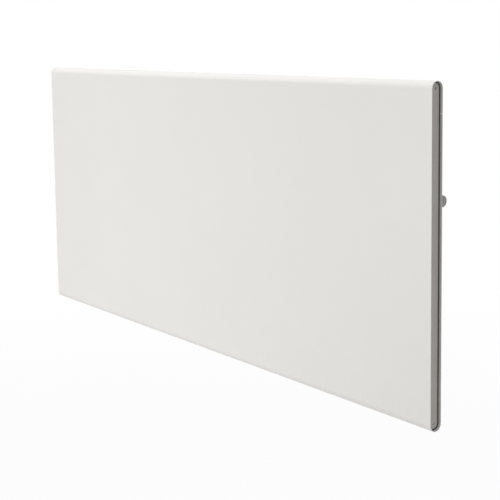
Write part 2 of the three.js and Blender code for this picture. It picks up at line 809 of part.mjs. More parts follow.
function controlBase() {
  const shell = extrude(controlOutline(0), "X", baseX, coverInnerX - gap, cornerSteps);
  const inside = extrude(controlOutline(controlWall), "X", floorX, coverInnerX + overrun, cornerSteps);
  const posts = postYs.flatMap((y) => postZs.flatMap((z) => [
    rod("X", postRadius, floorX - weldLap, boardX - gap, smallSides).translate(0, y, z),
    rod("X", postPin, floorX, boardFrontX + postPinTail, smallSides).translate(0, y, z),
  ]));
  const bosses = bossZs.map((z) => {
    return rod("X", bossRadius, floorX - weldLap, bossEndX, smallSides).translate(0, bossY, z);
  });
  const bores = bossZs.map((z) => {
    const tool = rod("X", bossBore, bossEndX - coverScrewLength, bossEndX + overrun, smallSides);
    return tool.translate(0, bossY, z);
  });
  const floorHole = rod("X", grommetNeck + gap, baseX - overrun, floorX + overrun);
  const [wallLow, wallHigh] = [controlBottomZ - overrun, controlBottomZ + controlWall + overrun];
  return cut(
    join(cut(shell, inside), ...posts, ...bosses),
    ...bores,
    floorHole.translate(0, controlY, grommetZ),
    rod("Z", glandNeck + gap, wallLow, wallHigh).translate(glandX, controlY, 0),
    rod("Z", sensorGrommetNeck + gap, wallLow, wallHigh).translate(sensorX, controlY, 0),
  );
}

function controlCover() {
  const plate = extrude(controlOutline(0), "X", coverInnerX, coverX, cornerSteps);
  const lipFromX = coverInnerX - coverLip;
  const lipInset = controlWall + gap;
  const lip = cut(
    extrude(controlOutline(lipInset), "X", lipFromX, coverInnerX + weldLap, cornerSteps),
    extrude(controlOutline(lipInset + coverLipWall), "X", lipFromX - overrun, coverInnerX, cornerSteps),
  );
  const sleeves = bossZs.map((z) => {
    return rod("X", bossRadius, lipFromX, coverInnerX + weldLap, smallSides).translate(0, bossY, z);
  });
  const [fromX, toX] = [lipFromX - overrun, coverX + overrun];
  const [cutHalfY, cutHalfZ] = [switchHalfY + gap, switchHalfZ + gap];
  return cut(
    join(plate, lip, ...sleeves),
    ...bossZs.map((z) => rod("X", coverScrewRadius + gap, fromX, toX, smallSides).translate(0, bossY, z)),
    rod("X", collarNeck + gap, fromX, toX).translate(0, dialY, dialZ),
    rod("X", lensRadius + gap, fromX, toX, smallSides).translate(0, dialY, lensZ),
    block(fromX, toX, controlY - cutHalfY, controlY + cutHalfY, switchZ - cutHalfZ, switchZ + cutHalfZ),
  );
}

function coverScrew() {
  const tailX = bossEndX - coverScrewLength + gap - coverX;
  return turned("X", [
    [0, tailX],
    [coverScrewRadius, tailX],
    [coverScrewRadius, 0],
    [coverScrewHead, 0],
    [coverScrewHead, coverScrewHead / 3],
    [coverScrewHead / 2, coverScrewHead / 2],
    [0, coverScrewHead / 2],
  ], smallSides);
}

const control = group();
piece(control, "control_base", controlBase(), whitePlastic);
piece(control, "control_cover", controlCover(), whitePlastic);
["upper", "lower"].forEach((name, i) => {
  piece(control, `cover_screw_${name}`, coverScrew(), zincSteel, [coverX + gap, bossY, bossZs[i]]);
});

// Circuit board and what stands on it

function circuitBoard() {
  const board = block(boardX, boardFrontX, boardLowY, boardHighY, boardBottomZ, boardTopZ);
  const [fromX, toX] = [boardX - overrun, boardFrontX + overrun];
  const holes = postYs.flatMap((y) => postZs.map((z) => {
    return rod("X", postPin + gap, fromX, toX, smallSides).translate(0, y, z);
  }));
  return cut(board, ...holes);
}

// A block on the board's front, from its lowest Y and Z and its size.
function boardBlock(y, z, size) {
  const x = boardFrontX + gap;
  return block(x, x + size.x, y, y + size.y, z, z + size.z);
}

function potentiometer() {
  const top = potHeight + potSleeveHeight;
  const bore = shaftRadius + gap;
  return turned("X", [
    [0, 0],
    [potRadius, 0],
    [potRadius, potHeight],
    [potSleeve, potHeight],
    [potSleeve, top],
    [bore, top],
    [bore, top - socketDepth],
    [0, top - socketDepth],
  ]);
}

const boardSeatX = boardFrontX + gap;
const potTopX = boardSeatX + potHeight + potSleeveHeight;
const transformerZ = boardBottomZ + partSpacing;
const relayZ = boardTopZ - partSpacing - relaySize.z;
const relayY = dialY - potRadius - partSpacing - relaySize.y;
const transformerY = controlY - transformerSize.y / 2;
const capacitorY = boardLowY + 2 * postInset + capacitorRadius;
const capacitorZ = (transformerZ + transformerSize.z + relayZ) / 2;
piece(control, "circuit_board", circuitBoard(), boardGreen);
piece(control, "relay", boardBlock(relayY, relayZ, relaySize), darkPlastic);
piece(control, "transformer", boardBlock(transformerY, transformerZ, transformerSize), darkPlastic);
const capacitorCan = rod("X", capacitorRadius, 0, capacitorHeight, smallSides);
piece(control, "capacitor", capacitorCan, darkPlastic, [boardSeatX, capacitorY, capacitorZ]);
piece(control, "potentiometer", potentiometer(), darkPlastic, [boardSeatX, dialY, dialZ]);

// Thermostat dial on its shaft, and the collar that it turns in

const collarSeatX = coverX + gap;
const dialBackX = collarSeatX + collarThickness + gap;
const dialFaceX = endX - dialInset - pointerHeight;

function dialCollar() {
  const bore = shaftRadius + gap;
  const neckX = -coverPlate - 2 * gap;
  return turned("X", [
    [bore, neckX],
    [collarNeck, neckX],
    [collarNeck, 0],
    [collarRadius, 0],
    [collarRadius, collarThickness / 2],
    [collarRadius - collarThickness / 2, collarThickness],
    [bore, collarThickness],
    [bore, neckX],
  ]);
}

// A shallow-fluted knob with a pointer bar on its face; local X zero is its back.
function thermostatDial() {
  const count = dialFlutes * 4;
  const outline = polygon(Array.from({ length: count }, (_, i) => {
    const angle = (2 * Math.PI * i) / count;
    const radius = dialRadius - (fluteDepth * (1 + Math.cos(dialFlutes * angle))) / 2;
    return [radius * Math.cos(angle), radius * Math.sin(angle)];
  }));
  const length = dialFaceX - dialBackX;
  const options = {
    depth: length - 2 * dialChamfer,
    bevelSize: dialChamfer,
    bevelOffset: -dialChamfer,
    bevelThickness: dialChamfer,
    bevelSegments: 1,
  };
  const body = new THREE.ExtrudeGeometry(outline, options);
  body.applyMatrix4(new THREE.Matrix4().makeBasis(axes.Y, axes.Z, axes.X)).translate(dialChamfer, 0, 0);
  const halfWidth = pointerWidth / 2;
  const tip = dialRadius - dialChamfer - fluteDepth;
  const pointer = block(length - weldLap, length + pointerHeight, -halfWidth, halfWidth, 0, tip);
  const socket = rod("X", shaftRadius + gap, -overrun, socketDepth, smallSides);
  return cut(join(body, pointer), socket);
}

const dial = group(control);
dial.position.set(dialBackX, dialY, dialZ);
piece(control, "dial_collar", dialCollar(), whitePlastic, [collarSeatX, dialY, dialZ]);
piece(dial, "thermostat_dial", thermostatDial(), paleGreyPlastic);
const shaftFromX = potTopX - socketDepth + gap - dialBackX;
piece(dial, "dial_shaft", rod("X", shaftRadius, shaftFromX, socketDepth - gap, smallSides), zincSteel);

// Rocker switch, built round the rocker's pivot, and the indicator lens

const bezelX = coverX + gap + bezelThickness;
const pivotX = bezelX - rockerSink;

function switchHousing() {
  const bezelBack = coverX + gap - pivotX;
  const bodyBack = coverX - switchBodyLength - pivotX;
  const [rimY, rimZ] = [switchHalfY + bezelRim, switchHalfZ + bezelRim];
  const bezel = block(bezelBack, rockerSink, -rimY, rimY, -rimZ, rimZ);
  const body = block(bodyBack, bezelBack + weldLap, -switchHalfY, switchHalfY, -switchHalfZ, switchHalfZ);
  const blades = [-1, 0, 1].map((i) => {
    const z = i * switchBladeSpacing;
    const [low, high] = [z - bladeThickness / 2, z + bladeThickness / 2];
    return block(bodyBack - bladeLength, bodyBack + weldLap, -bladeWidth / 2, bladeWidth / 2, low, high);
  });
  const floor = -rockerReach - gap;
  const cavity = block(floor, rockerSink + overrun, -cavityHalfY, cavityHalfY, -cavityHalfZ, cavityHalfZ);
  const trunnionHalf = cavityHalfY + trunnionLength;
  const trunnionBore = rod("Y", trunnionRadius + gap, -trunnionHalf, trunnionHalf, smallSides);
  return cut(join(bezel, body, ...blades), cavity, trunnionBore);
}

function rockerPaddle() {
  const shape = new THREE.Shape();
  const cornerZ = rockerReach * Math.cos(rockerEndAngle);
  const cornerX = rockerReach * Math.sin(rockerEndAngle);
  shape.moveTo(cornerZ, cornerX);
  shape.lineTo(0, rockerValley);
  shape.lineTo(-cornerZ, cornerX);
  shape.absarc(0, 0, rockerReach, Math.PI - rockerEndAngle, 2 * Math.PI + rockerEndAngle, false);
  const paddle = extrude(shape, "Y", -rockerWidth / 2, rockerWidth / 2);
  const trunnionHalf = rockerWidth / 2 + trunnionLength;
  return join(paddle, rod("Y", trunnionRadius, -trunnionHalf, trunnionHalf, smallSides));
}

function indicatorLens() {
  const shoulder = [lensRadius * lensShoulderShare, lensRimThickness + lensDome * lensShoulderShare];
  return turned("X", [
    [0, -lensStem],
    [lensRadius, -lensStem],
    [lensRadius, 0],
    [lensRadius + lensRim, 0],
    [lensRadius + lensRim, lensRimThickness],
    [lensRadius, lensRimThickness],
    shoulder,
    [0, lensRimThickness + lensDome],
  ], smallSides);
}

piece(control, "switch_housing", switchHousing(), darkPlastic, [pivotX, controlY, switchZ]);
piece(control, "rocker", rockerPaddle(), darkPlastic, [pivotX, controlY, switchZ]).rotation.y = rockerTilt;
piece(control, "indicator_lens", indicatorLens(), redLens, [coverX + gap, dialY, lensZ]);

// Terminals, cable gland and room sensor

function terminalBlock() {
  const { x, y, z } = terminalSize;
  const pitch = y / terminalPoles;
  const bores = Array.from({ length: terminalPoles }, (_, i) => {
    return rod("Z", terminalBore, z / 2, z + overrun, smallSides).translate(x / 4, (i + 1 / 2) * pitch, 0);
  });
  return cut(block(0, x, 0, y, 0, z), ...bores);
}

// The gland's body: a hexagon under the box, a neck up through the wall and a neck down into the dome nut.
function cableGland() {
  const top = controlWall + gap + locknutHeight + weldLap;
  const bottom = -gap - glandFlangeHeight;
  const tail = bottom - (domeHeight - domeMouth);
  const hexagon = extrude(flats(6, glandFlange), "Z", bottom, -gap);
  const neck = rod("Z", glandNeck, tail, top);
  return cut(join(hexagon, neck), rod("Z", glandBore, tail - overrun, top + overrun));
}

function glandLocknut() {
  const nut = extrude(flats(6, glandFlange), "Z", 0, locknutHeight);
  return cut(nut, rod("Z", glandNeck + gap, -overrun, locknutHeight + overrun));
}

// The dome nut hangs down from local Z zero, with a socket for the gland's neck above its mouth.
function glandNut() {
  const socket = domeHeight - domeMouth + gap;
  const hexagon = extrude(flats(6, glandFlange), "Z", -domeHeight / 2, 0);
  const dome = turned("Z", [
    [0, -domeHeight - gap],
    [domeTip, -domeHeight - gap],
    [glandFlange, -domeHeight / 2],
    [glandFlange, -weldLap],
    [0, -weldLap],
  ]);
  const wide = rod("Z", glandNeck + gap, -socket, overrun);
  return cut(join(hexagon, dome), wide, rod("Z", glandBore, -domeHeight - overrun, 0));
}

function sensorGrommet() {
  const bore = sensorRadius + gap;
  const neck = sensorGrommetNeck;
  const top = controlWall + gap;
  return turned("Z", [
    [bore, -gap - grommetRim],
    [neck + grommetRim, -gap - grommetRim],
    [neck + grommetRim, -gap],
    [neck, -gap],
    [neck, top],
    [neck + grommetRim, top],
    [neck + grommetRim, top + grommetRim],
    [bore, top + grommetRim],
    [bore, -gap - grommetRim],
  ], smallSides);
}

function sensorProbe() {
  const low = (-sensorLength * 2) / 3;
  const high = sensorLength / 3;
  const tip = low - sensorRadius / 2;
  return turned("Z", [
    [0, tip],
    [sensorRadius / 2, tip],
    [sensorRadius, low],
    [sensorRadius, high],
    [0, high],
  ], smallSides);
}

const terminalPlace = [
  floorX + gap,
  controlBackY - controlWall - boardEdge - terminalSize.y,
  controlBottomZ + controlWall + gap,
];
const glandPlace = [glandX, controlY, controlBottomZ];
const sensorPlace = [sensorX, controlY, controlBottomZ];
piece(control, "terminal_block", terminalBlock(), ceramic, terminalPlace);
piece(control, "cable_gland", cableGland(), whitePlastic, glandPlace);
const locknutPlace = [glandX, controlY, controlBottomZ + controlWall + gap];
const domePlace = [glandX, controlY, controlBottomZ - glandFlangeHeight - 2 * gap];
piece(control, "gland_locknut", glandLocknut(), whitePlastic, locknutPlace);
piece(control, "gland_nut", glandNut(), whitePlastic, domePlace);
piece(control, "sensor_grommet", sensorGrommet(), blackRubber, sensorPlace);
piece(control, "sensor_probe", sensorProbe(), whitePlastic, sensorPlace);

// Wall bracket: two uprights joined by a rail. Pieces of a side are drawn for the right-hand one.

const lipFarY = -hookLipDistance;
const lipNearY = lipFarY - bracketSheet;
const rivetY = -railEndDepth / 2;

function upright() {
  const half = uprightWidth / 2;
  const channel = polygon([
    [-half, -bracketDepth],
    [-half + bracketSheet, -bracketDepth],
    [-half + bracketSheet, -bracketSheet],
    [half - bracketSheet, -bracketSheet],
    [half - bracketSheet, -bracketDepth],
    [half, -bracketDepth],
    [half, 0],
    [-half, 0],
  ]);
  const topPlate = block(-half, half, -bracketDepth, 0, uprightTopZ - bracketSheet, uprightTopZ);
  const slotHalf = hangerWidth / 2 + hookSlotSlack;
  const [plateLow, plateHigh] = [uprightTopZ - bracketSheet - overrun, uprightTopZ + overrun];
  const hookSlot = block(
    -hookOffset - slotHalf, -hookOffset + slotHalf,
    lipNearY - gap, lipFarY + gap,
    plateLow, plateHigh,
  );
  const pinHole = rod("Z", lockPin + gap, plateLow, plateHigh).translate(lockOffset, -lockDistance, 0);
  const rivetHole = rod("X", rivetRadius + gap, -half - overrun, -half + bracketSheet + overrun, smallSides);
  const wallSlots = [uprightBottomZ + wallSlotEdge, uprightTopZ - wallSlotEdge].map((z) => {
    const [halfWidth, halfLength] = [wallSlotWidth / 2, wallSlotLength / 2];
    return block(-halfWidth, halfWidth, -bracketSheet - overrun, overrun, z - halfLength, z + halfLength);
  });
  const body = join(extrude(channel, "Z", uprightBottomZ, uprightTopZ), topPlate);
  return cut(body, hookSlot, pinHole, rivetHole.translate(0, rivetY, 0), ...wallSlots);
}

function rail() {
  const [x0, x1] = [uprightXs[0] + uprightWidth / 2 + gap, uprightXs[1] - uprightWidth / 2 - gap];
  const half = railHeight / 2;
  const channel = polygon([
    [0, -half],
    [0, half],
    [-railDepth, half],
    [-railDepth, half - bracketSheet],
    [-bracketSheet, half - bracketSheet],
    [-bracketSheet, bracketSheet - half],
    [-railDepth, bracketSheet - half],
    [-railDepth, -half],
  ]);
  const ends = [[x0, x0 + bracketSheet], [x1 - bracketSheet, x1]];
  const plates = ends.map(([from, to]) => block(from, to, -railEndDepth, 0, -half, half));
  const holes = ends.map(([from, to]) => {
    return rod("X", rivetRadius + gap, from - overrun, to + overrun, smallSides).translate(0, rivetY, 0);
  });
  return cut(join(extrude(channel, "X", x0, x1), ...plates), ...holes);
}

// A rivet through an upright's side and the rail's end; local X zero is the middle of its grip.
function rivet() {
  const seat = bracketSheet + gap / 2 + gap;
  const end = seat + rivetHeadHeight;
  const crown = rivetHead / 2;
  return turned("X", [
    [0, -end],
    [crown, -end],
    [rivetHead, -seat],
    [rivetRadius, -seat],
    [rivetRadius, seat],
    [rivetHead, seat],
    [crown, end],
    [0, end],
  ], smallSides);
}

// A strap on the housing's back whose hook drops into the upright's top plate.
function hanger() {
  const [y0, y1] = [housingBackY + gap, housingBackY + gap + bracketSheet];
  const tabLow = uprightTopZ + gap;
  const tabHigh = tabLow + bracketSheet;
  const profile = polygon([
    [y0, uprightTopZ - hangerLength],
    [y1, uprightTopZ - hangerLength],
    [y1, tabLow],
    [lipNearY, tabLow],
    [lipNearY, uprightTopZ - hookLip],
    [lipFarY, uprightTopZ - hookLip],
    [lipFarY, tabHigh],
    [y0, tabHigh],
  ]);
  return extrude(profile, "X", -hangerWidth / 2, hangerWidth / 2);
}

// A quarter-turn lock: a slotted pin riveted through the top plate, with an arm over the hanger's hook.
function turnLock() {
  const collarTop = -bracketSheet - gap;
  const armLow = 2 * gap + bracketSheet;
  const armHigh = armLow + lockArmThickness;
  const top = armHigh + lockHeadHeight;
  const body = turned("Z", [
    [0, collarTop - lockCollarHeight],
    [lockCollar, collarTop - lockCollarHeight],
    [lockCollar, collarTop],
    [lockPin, collarTop],
    [lockPin, gap],
    [lockHub, gap],
    [lockHub, armHigh],
    [lockHead, armHigh],
    [lockHead, top],
    [0, top],
  ]);
  const half = lockArmWidth / 2;
  const arm = block(half - lockArmLength, 0, -half, half, armLow, armHigh);
  const armEnd = rod("Z", half, armLow, armHigh, smallSides).translate(half - lockArmLength, 0, 0);
  const [reach, slotHalf] = [lockHead + overrun, lockSlotWidth / 2];
  const slot = block(-reach, reach, -slotHalf, slotHalf, top - lockSlotDepth, top + overrun);
  return cut(join(body, arm, armEnd), slot);
}

function bumper() {
  const length = standOff + bracketDepth - bracketSheet - 2 * gap;
  const profile = [[0, 0], [bumperBase, 0], [bumperBase, bumperBaseHeight], [bumperTip, length], [0, length]];
  return turned("Y", profile);
}

const bracket = group();
piece(bracket, "bracket_rail", rail(), whitePaint);
["left", "right"].forEach((name, i) => {
  const side = group(bracket);
  side.position.x = uprightXs[i];
  side.scale.x = i ? 1 : -1;
  piece(side, `bracket_upright_${name}`, upright(), whitePaint);
  piece(side, `bracket_rivet_${name}`, rivet(), zincSteel, [-(uprightWidth + gap) / 2, rivetY, 0]);
  piece(side, `hanger_${name}`, hanger(), zincSteel, [-hookOffset, 0, 0]);
  piece(side, `turn_lock_${name}`, turnLock(), darkPlastic, [lockOffset, -lockDistance, uprightTopZ]);
  const bumperZ = bumperRise - housingTopZ;
  piece(side, `bumper_${name}`, bumper(), blackRubber, [0, housingBackY + gap, bumperZ]);
});

export default heater;
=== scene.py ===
import json
import math

import bmesh
import bpy
from mathutils import Matrix, Vector

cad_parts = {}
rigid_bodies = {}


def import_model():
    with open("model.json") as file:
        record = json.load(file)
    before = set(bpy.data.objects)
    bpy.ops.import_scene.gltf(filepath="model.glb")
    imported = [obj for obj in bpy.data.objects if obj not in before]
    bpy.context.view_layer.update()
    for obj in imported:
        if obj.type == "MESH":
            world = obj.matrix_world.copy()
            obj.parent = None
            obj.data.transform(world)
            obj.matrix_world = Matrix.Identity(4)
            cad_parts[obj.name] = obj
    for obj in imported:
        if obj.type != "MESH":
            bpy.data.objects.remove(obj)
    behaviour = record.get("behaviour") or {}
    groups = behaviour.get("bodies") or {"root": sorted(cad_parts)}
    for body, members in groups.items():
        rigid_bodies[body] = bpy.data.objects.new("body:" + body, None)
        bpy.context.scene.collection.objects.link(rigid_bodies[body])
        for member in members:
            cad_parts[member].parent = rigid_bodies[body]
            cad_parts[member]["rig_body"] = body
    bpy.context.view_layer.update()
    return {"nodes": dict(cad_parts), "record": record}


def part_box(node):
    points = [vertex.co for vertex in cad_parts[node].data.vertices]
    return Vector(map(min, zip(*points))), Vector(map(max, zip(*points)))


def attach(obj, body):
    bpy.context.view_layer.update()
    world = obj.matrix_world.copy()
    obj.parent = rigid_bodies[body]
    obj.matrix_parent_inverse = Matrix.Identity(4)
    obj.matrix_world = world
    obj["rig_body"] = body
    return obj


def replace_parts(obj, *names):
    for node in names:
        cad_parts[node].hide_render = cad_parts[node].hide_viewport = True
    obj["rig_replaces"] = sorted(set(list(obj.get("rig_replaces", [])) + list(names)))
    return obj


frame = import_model()

MM = 0.001

# Camera
CAMERA_PLACE = Vector((1202.1, -926.5, 235.7)) * MM
CAMERA_YAW = math.radians(52.476)
CAMERA_PITCH = math.radians(6.443)
CAMERA_ROLL = math.radians(-0.756)
CAMERA_LENS = 80.96  # millimetres, as the sensor is
CAMERA_SENSOR = 36
CAMERA_SHIFT = -0.18
CAMERA_REACH = 30

# Light and floor
AMBIENT = 0.44  # world light on the heater
LAMPS = (  # name, place, target, size and watts
    ("key", (-0.28, -1.55, 0.02), (-0.05, -0.08, 0), 1.0, 12.4),
    ("top", (0.1, -0.3, 2.4), (0, -0.08, 0), 1.0, 31),
    ("rear fill", (-0.4, 2.4, 0.9), (0, -0.04, 0), 1.4, 15),
)
FLOOR_DROP = 0.72  # the floor, below the frame's origin
FLOOR_RADIUS = 9
FLOOR_STEPS = 96
FLOOR_CLEAR = 1.1  # the shadow's share of the floor fades out past this distance
FLOOR_FADED = 2.5  # and is gone at this many times that distance
FLOOR_GLOW = 0.955  # white that the floor shows of itself, where it takes the shadow
FLOOR_COLOUR = (0.55, 0.55, 0.55, 1)  # what it sends back to the heater's underside
WHITE = (1, 1, 1, 1)

# Sheet metal, and how meshes are joined and rounded
SHEET = 1.0 * MM
GAP = 0.3 * MM  # clearance between pieces that fit into each other
CUT_EDGE = 0.2 * MM  # rounding of a painted cut edge
WELD = 0.001 * MM  # points nearer than this are one
FINE_WELD = WELD / 10  # where a form keeps only a weld's length from the next
FLAT_ANGLE = math.radians(0.4)  # triangles that turn less are one flat face
CUT_REACH = 1 * MM  # how far a cutting body stands out, and a patch past its hole
SHARP_EDGE = math.radians(28)  # edges between faces that turn further are rounded
SHARP_SHADE = math.radians(38)  # and shading breaks past this
SOFT_EDGE = 0.25 * MM  # rounding of most pieces' edges
FINE_EDGE = 0.15 * MM  # and where forms are small
ROLL_STEPS = 32
SEAM_Z = 151 * MM  # where the shell's flanges end on the rear sheet

# Recessed end caps
CAP_GROOVE = 0.9 * MM  # width of the groove round a cap's face
CAP_GROOVE_DEPTH = 6 * MM
SHADE_RING_RISE = 0.5 * MM  # the black ring in the groove, in front of the face; a dark piece that paints the groove's shade
SHADE_RING_EDGE = 0.1 * MM
CAP_WALL = 1.6 * MM
CAP_FACE = 2 * MM
CAP_EDGE = 0.3 * MM
CAP_SCREW = 1.6 * MM  # radius of a sunk screw's pocket
CAP_SCREW_DEPTH = 1.5 * MM
CAP_SCREW_FIT = 0.92  # the head's share of the pocket's radius
CAP_SCREW_RISE = 0.5  # and of its depth

# Screws with a cross recess
HOUSING_SCREW_HEAD = 1.8 * MM
HOUSING_SCREW_SHANK = 1.6 * MM  # radius
COVER_SCREW_HEAD = 1.4 * MM
COVER_SCREW_SHANK = 1.2 * MM
HEAD_RIM = 0.3  # height of a head's upright rim, as a share of the head's
HEAD_CURVE = 0.55  # below 1, the dome is fuller toward its rim than a ball
HEAD_STEPS = 8
TIP_RADIUS = 0.8  # share of the shank's
RECESS_DEPTH = 0.65  # share of the head's height
RECESS_WIDTH = 0.26  # share of the head's radius
RECESS_TAPER = 0.7

# Controls
DIAL_FLUTES = 18
FLUTE_DEPTH = 0.35 * MM
DIAL_EDGE = 0.8 * MM
DIAL_FOOT = 0.3 * MM  # chamfer at the dial's foot
DIAL_EDGE_STEPS = 6
DIAL_DISH = 0.3 * MM
DISH_BEND = 0.6  # where the dish flattens, as a share of the ring groove's radius
DISH_BEND_DEPTH = 0.7  # and its depth there, as a share of the dish's
FLUTE_STEPS = 10  # to each flute
GROOVE_PLACE = 0.7  # share of the dial's radius
GROOVE_WIDTH = 0.7 * MM
GROOVE_DEPTH = 0.5 * MM
GROOVE_SLANT = 0.15  # share of its width that each side takes
POINTER_WIDTH = 1.2 * MM
POINTER_HEIGHT = 0.5 * MM
COLLAR_EDGE = 0.12 * MM
TICK_COUNT = 7
TICK_SWEEP = math.radians(270)
TICK_RELIEF = 0.1 * MM
TICK_WIDTH = 0.35 * MM
TICK_LENGTH = 0.8 * MM
TICK_INSET = 1.1 * MM
LENS_RIM = 0.8 * MM
LENS_DOME = 1.2 * MM
LENS_EDGE = 0.3 * MM
LENS_LEDGE = 1 * MM  # from the dome's foot to the rim's outside
LENS_CREASE = 0.2 * MM
LENS_STEPS = 8
ROCKER_PIVOT = Vector((365.1, -44.2, 16.7)) * MM
ROCKER_TILT = math.radians(8)
ROCKER_END = math.radians(10)  # from the pivot's plane to an end's corner
ROCKER_REACH = 9.2 * MM
ROCKER_WIDTH = 11 * MM
ROCKER_EDGE = 0.4 * MM
ROCKER_STEPS = 32
ROCKER_VALLEY = 0.35 * MM
ROCKER_SLOPE = math.radians(7.84)  # of each half's face
MARK_PLACE = Vector((1.01, 0, 4.8)) * MM  # middle of the upper half's face, from the pivot
MARK_RELIEF = 0.12 * MM
MARK_LENGTH = 2.6 * MM
MARK_WIDTH = 0.5 * MM
PROBE_STEPS = 8

# Bracket
BRACKET_SHEET = 1.5 * MM
WALL_SLOT_WIDTH = 6 * MM
WALL_SLOT_LENGTH = 14 * MM
WALL_SLOT_EDGE = 36 * MM  # the wall slots' middles, from the uprights' ends
WALL_SLOT_STEPS = 16
BUMPER_FLANGE = 3 * MM
BUMPER_TIP = 0.7  # the tip's share of the base's radius
BUMPER_EDGE = 0.5 * MM
BUMPER_ROUND = 1.2 * MM
DIMPLE_DEPTH = 1 * MM
DIMPLE_MOUTH = 0.55  # shares of the tip's radius
DIMPLE_FLOOR = 0.45

# Grilles
SLOT_COUNT = 49
SLOT_PITCH = 12 * MM
SLOT_WIDTH = 6 * MM
SLOT_MARGIN = 7 * MM  # from a slot's end to the strip's edge
SLOT_ROUND = 2.7 * MM
SLOT_STEPS = 6

# Directions, and steps round a turned body
X_AXIS, Z_AXIS = 0, 2
Z_UP = Vector((0, 0, 1))
RIGHT = (1, 0, 0)
TO_WALL = (0, 1, 0)
DOWN = (0, 0, -1)
ROUND_STEPS = 64
SMALL_ROUND_STEPS = 48

# Surfaces
VECTOR = "NodeSocketVector"
FLOAT = "NodeSocketFloat"
MIX_FIRST, MIX_SECOND, MIX_RESULT = 6, 7, 2  # colour sockets of a Mix node
CLOUD_RANGE = (0.3, 0.7)  # the part of a noise that a cloud's whole range is drawn from
POWDER_CLOUD = 9.0
GRIT_SHARE = 0.18
GRAIN_CLOUD = 40.0
PIT_SHARE = 0.6  # scale of the roughness between the pits, as a share of theirs
SCRATCH_TURN = (0.3, 0.5, 0.8)
SCRATCH_STRETCH = (1.0, 14.0, 14.0)
SCRATCH_SCALE = 160.0
SCRATCH_RANGE = (0.62, 0.72)
SCRATCH_GLOSS = 0.15
DIE_STRETCH = (0.015, 1.0, 1.0)
DRAWN_CLOUD = 60.0

# Nodes whose edges stay as they are, and those with small forms
SMOOTH_NODES = ("lead_live", "lead_neutral", "lead_link", "element_hairpin", "element_extrusion")
SMALL_FORMS = (
    "gland_nut", "switch_housing", "thermal_cutout", "turn_lock_left", "turn_lock_right", "control_cover"
)

# Places of the rolled edges, from the frame
shell_low, shell_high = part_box("front_shell")
roll_radius = (shell_high.y - shell_low.y) / 2
roll_y = shell_low.y + roll_radius
roll_z = shell_high.z - roll_radius

node_slots = {part["node"]: part["material_slot"] for part in frame["record"]["subparts"]}


# Camera, light and stage

def make_camera():
    flat = math.cos(CAMERA_PITCH)
    level = Vector((math.cos(CAMERA_YAW), math.sin(CAMERA_YAW), 0))
    forward = flat * Z_UP.cross(level) - math.sin(CAMERA_PITCH) * Z_UP
    upright = level.cross(forward)
    right = level * math.cos(CAMERA_ROLL) + upright * math.sin(CAMERA_ROLL)
    up = upright * math.cos(CAMERA_ROLL) - level * math.sin(CAMERA_ROLL)
    camera = bpy.data.objects.new("camera", bpy.data.cameras.new("camera"))
    turn = Matrix((right, up, -forward)).transposed().to_4x4()
    camera.matrix_world = Matrix.Translation(CAMERA_PLACE) @ turn
    camera.data.lens = CAMERA_LENS
    camera.data.sensor_width = CAMERA_SENSOR
    camera.data.shift_y = CAMERA_SHIFT
    camera.data.clip_end = CAMERA_REACH
    bpy.context.scene.collection.objects.link(camera)
    bpy.context.scene.camera = camera


def soft_light(name, place, target, size, watts):
    """A square lamp at a place, aimed at a target."""
    lamp = bpy.data.lights.new(name, "AREA")
    lamp.shape = "SQUARE"
    lamp.size = size
    lamp.energy = watts
    made = bpy.data.objects.new(name, lamp)
    aim = (Vector(target) - Vector(place)).to_track_quat("-Z", "Y")
    made.matrix_world = Matrix.Translation(place) @ aim.to_matrix().to_4x4()
    bpy.context.scene.collection.objects.link(made)


def set_value(tree, socket, value):
    if isinstance(value, bpy.types.NodeSocket):
        tree.links.new(value, socket)
    else:
        socket.default_value = value


def add_node(tree, kind, inputs=None, **settings):
    made = tree.nodes.new(kind)
    for name, value in settings.items():
        setattr(made, name, value)
    for key, value in (inputs or {}).items():
        set_value(tree, made.inputs[key], value)
    return made


def maths(tree, first, second, operation="ADD", clamp=False):
    """One step of arithmetic on two sockets or numbers."""
    made = add_node(tree, "ShaderNodeMath", {0: first, 1: second}, operation=operation, use_clamp=clamp)
    return made.outputs[0]


def seen_rays(tree):
    """1 on rays from the camera, and on those that a glossy or clear surface sends on."""
    path = add_node(tree, "ShaderNodeLightPath").outputs
    first = maths(tree, path["Is Camera Ray"], path["Is Glossy Ray"])
    return maths(tree, first, path["Is Transmission Ray"], clamp=True)


def make_world():
    world = bpy.data.worlds.new("white surround")
    world.use_nodes = True
    bpy.context.scene.world = world
    tree = world.node_tree
    tree.nodes.clear()
    strength = remap(tree, seen_rays(tree), AMBIENT, 1.0)
    light = add_node(tree, "ShaderNodeBackground", {"Color": WHITE, "Strength": strength})
    add_node(tree, "ShaderNodeOutputWorld", {"Surface": light.outputs[0]})


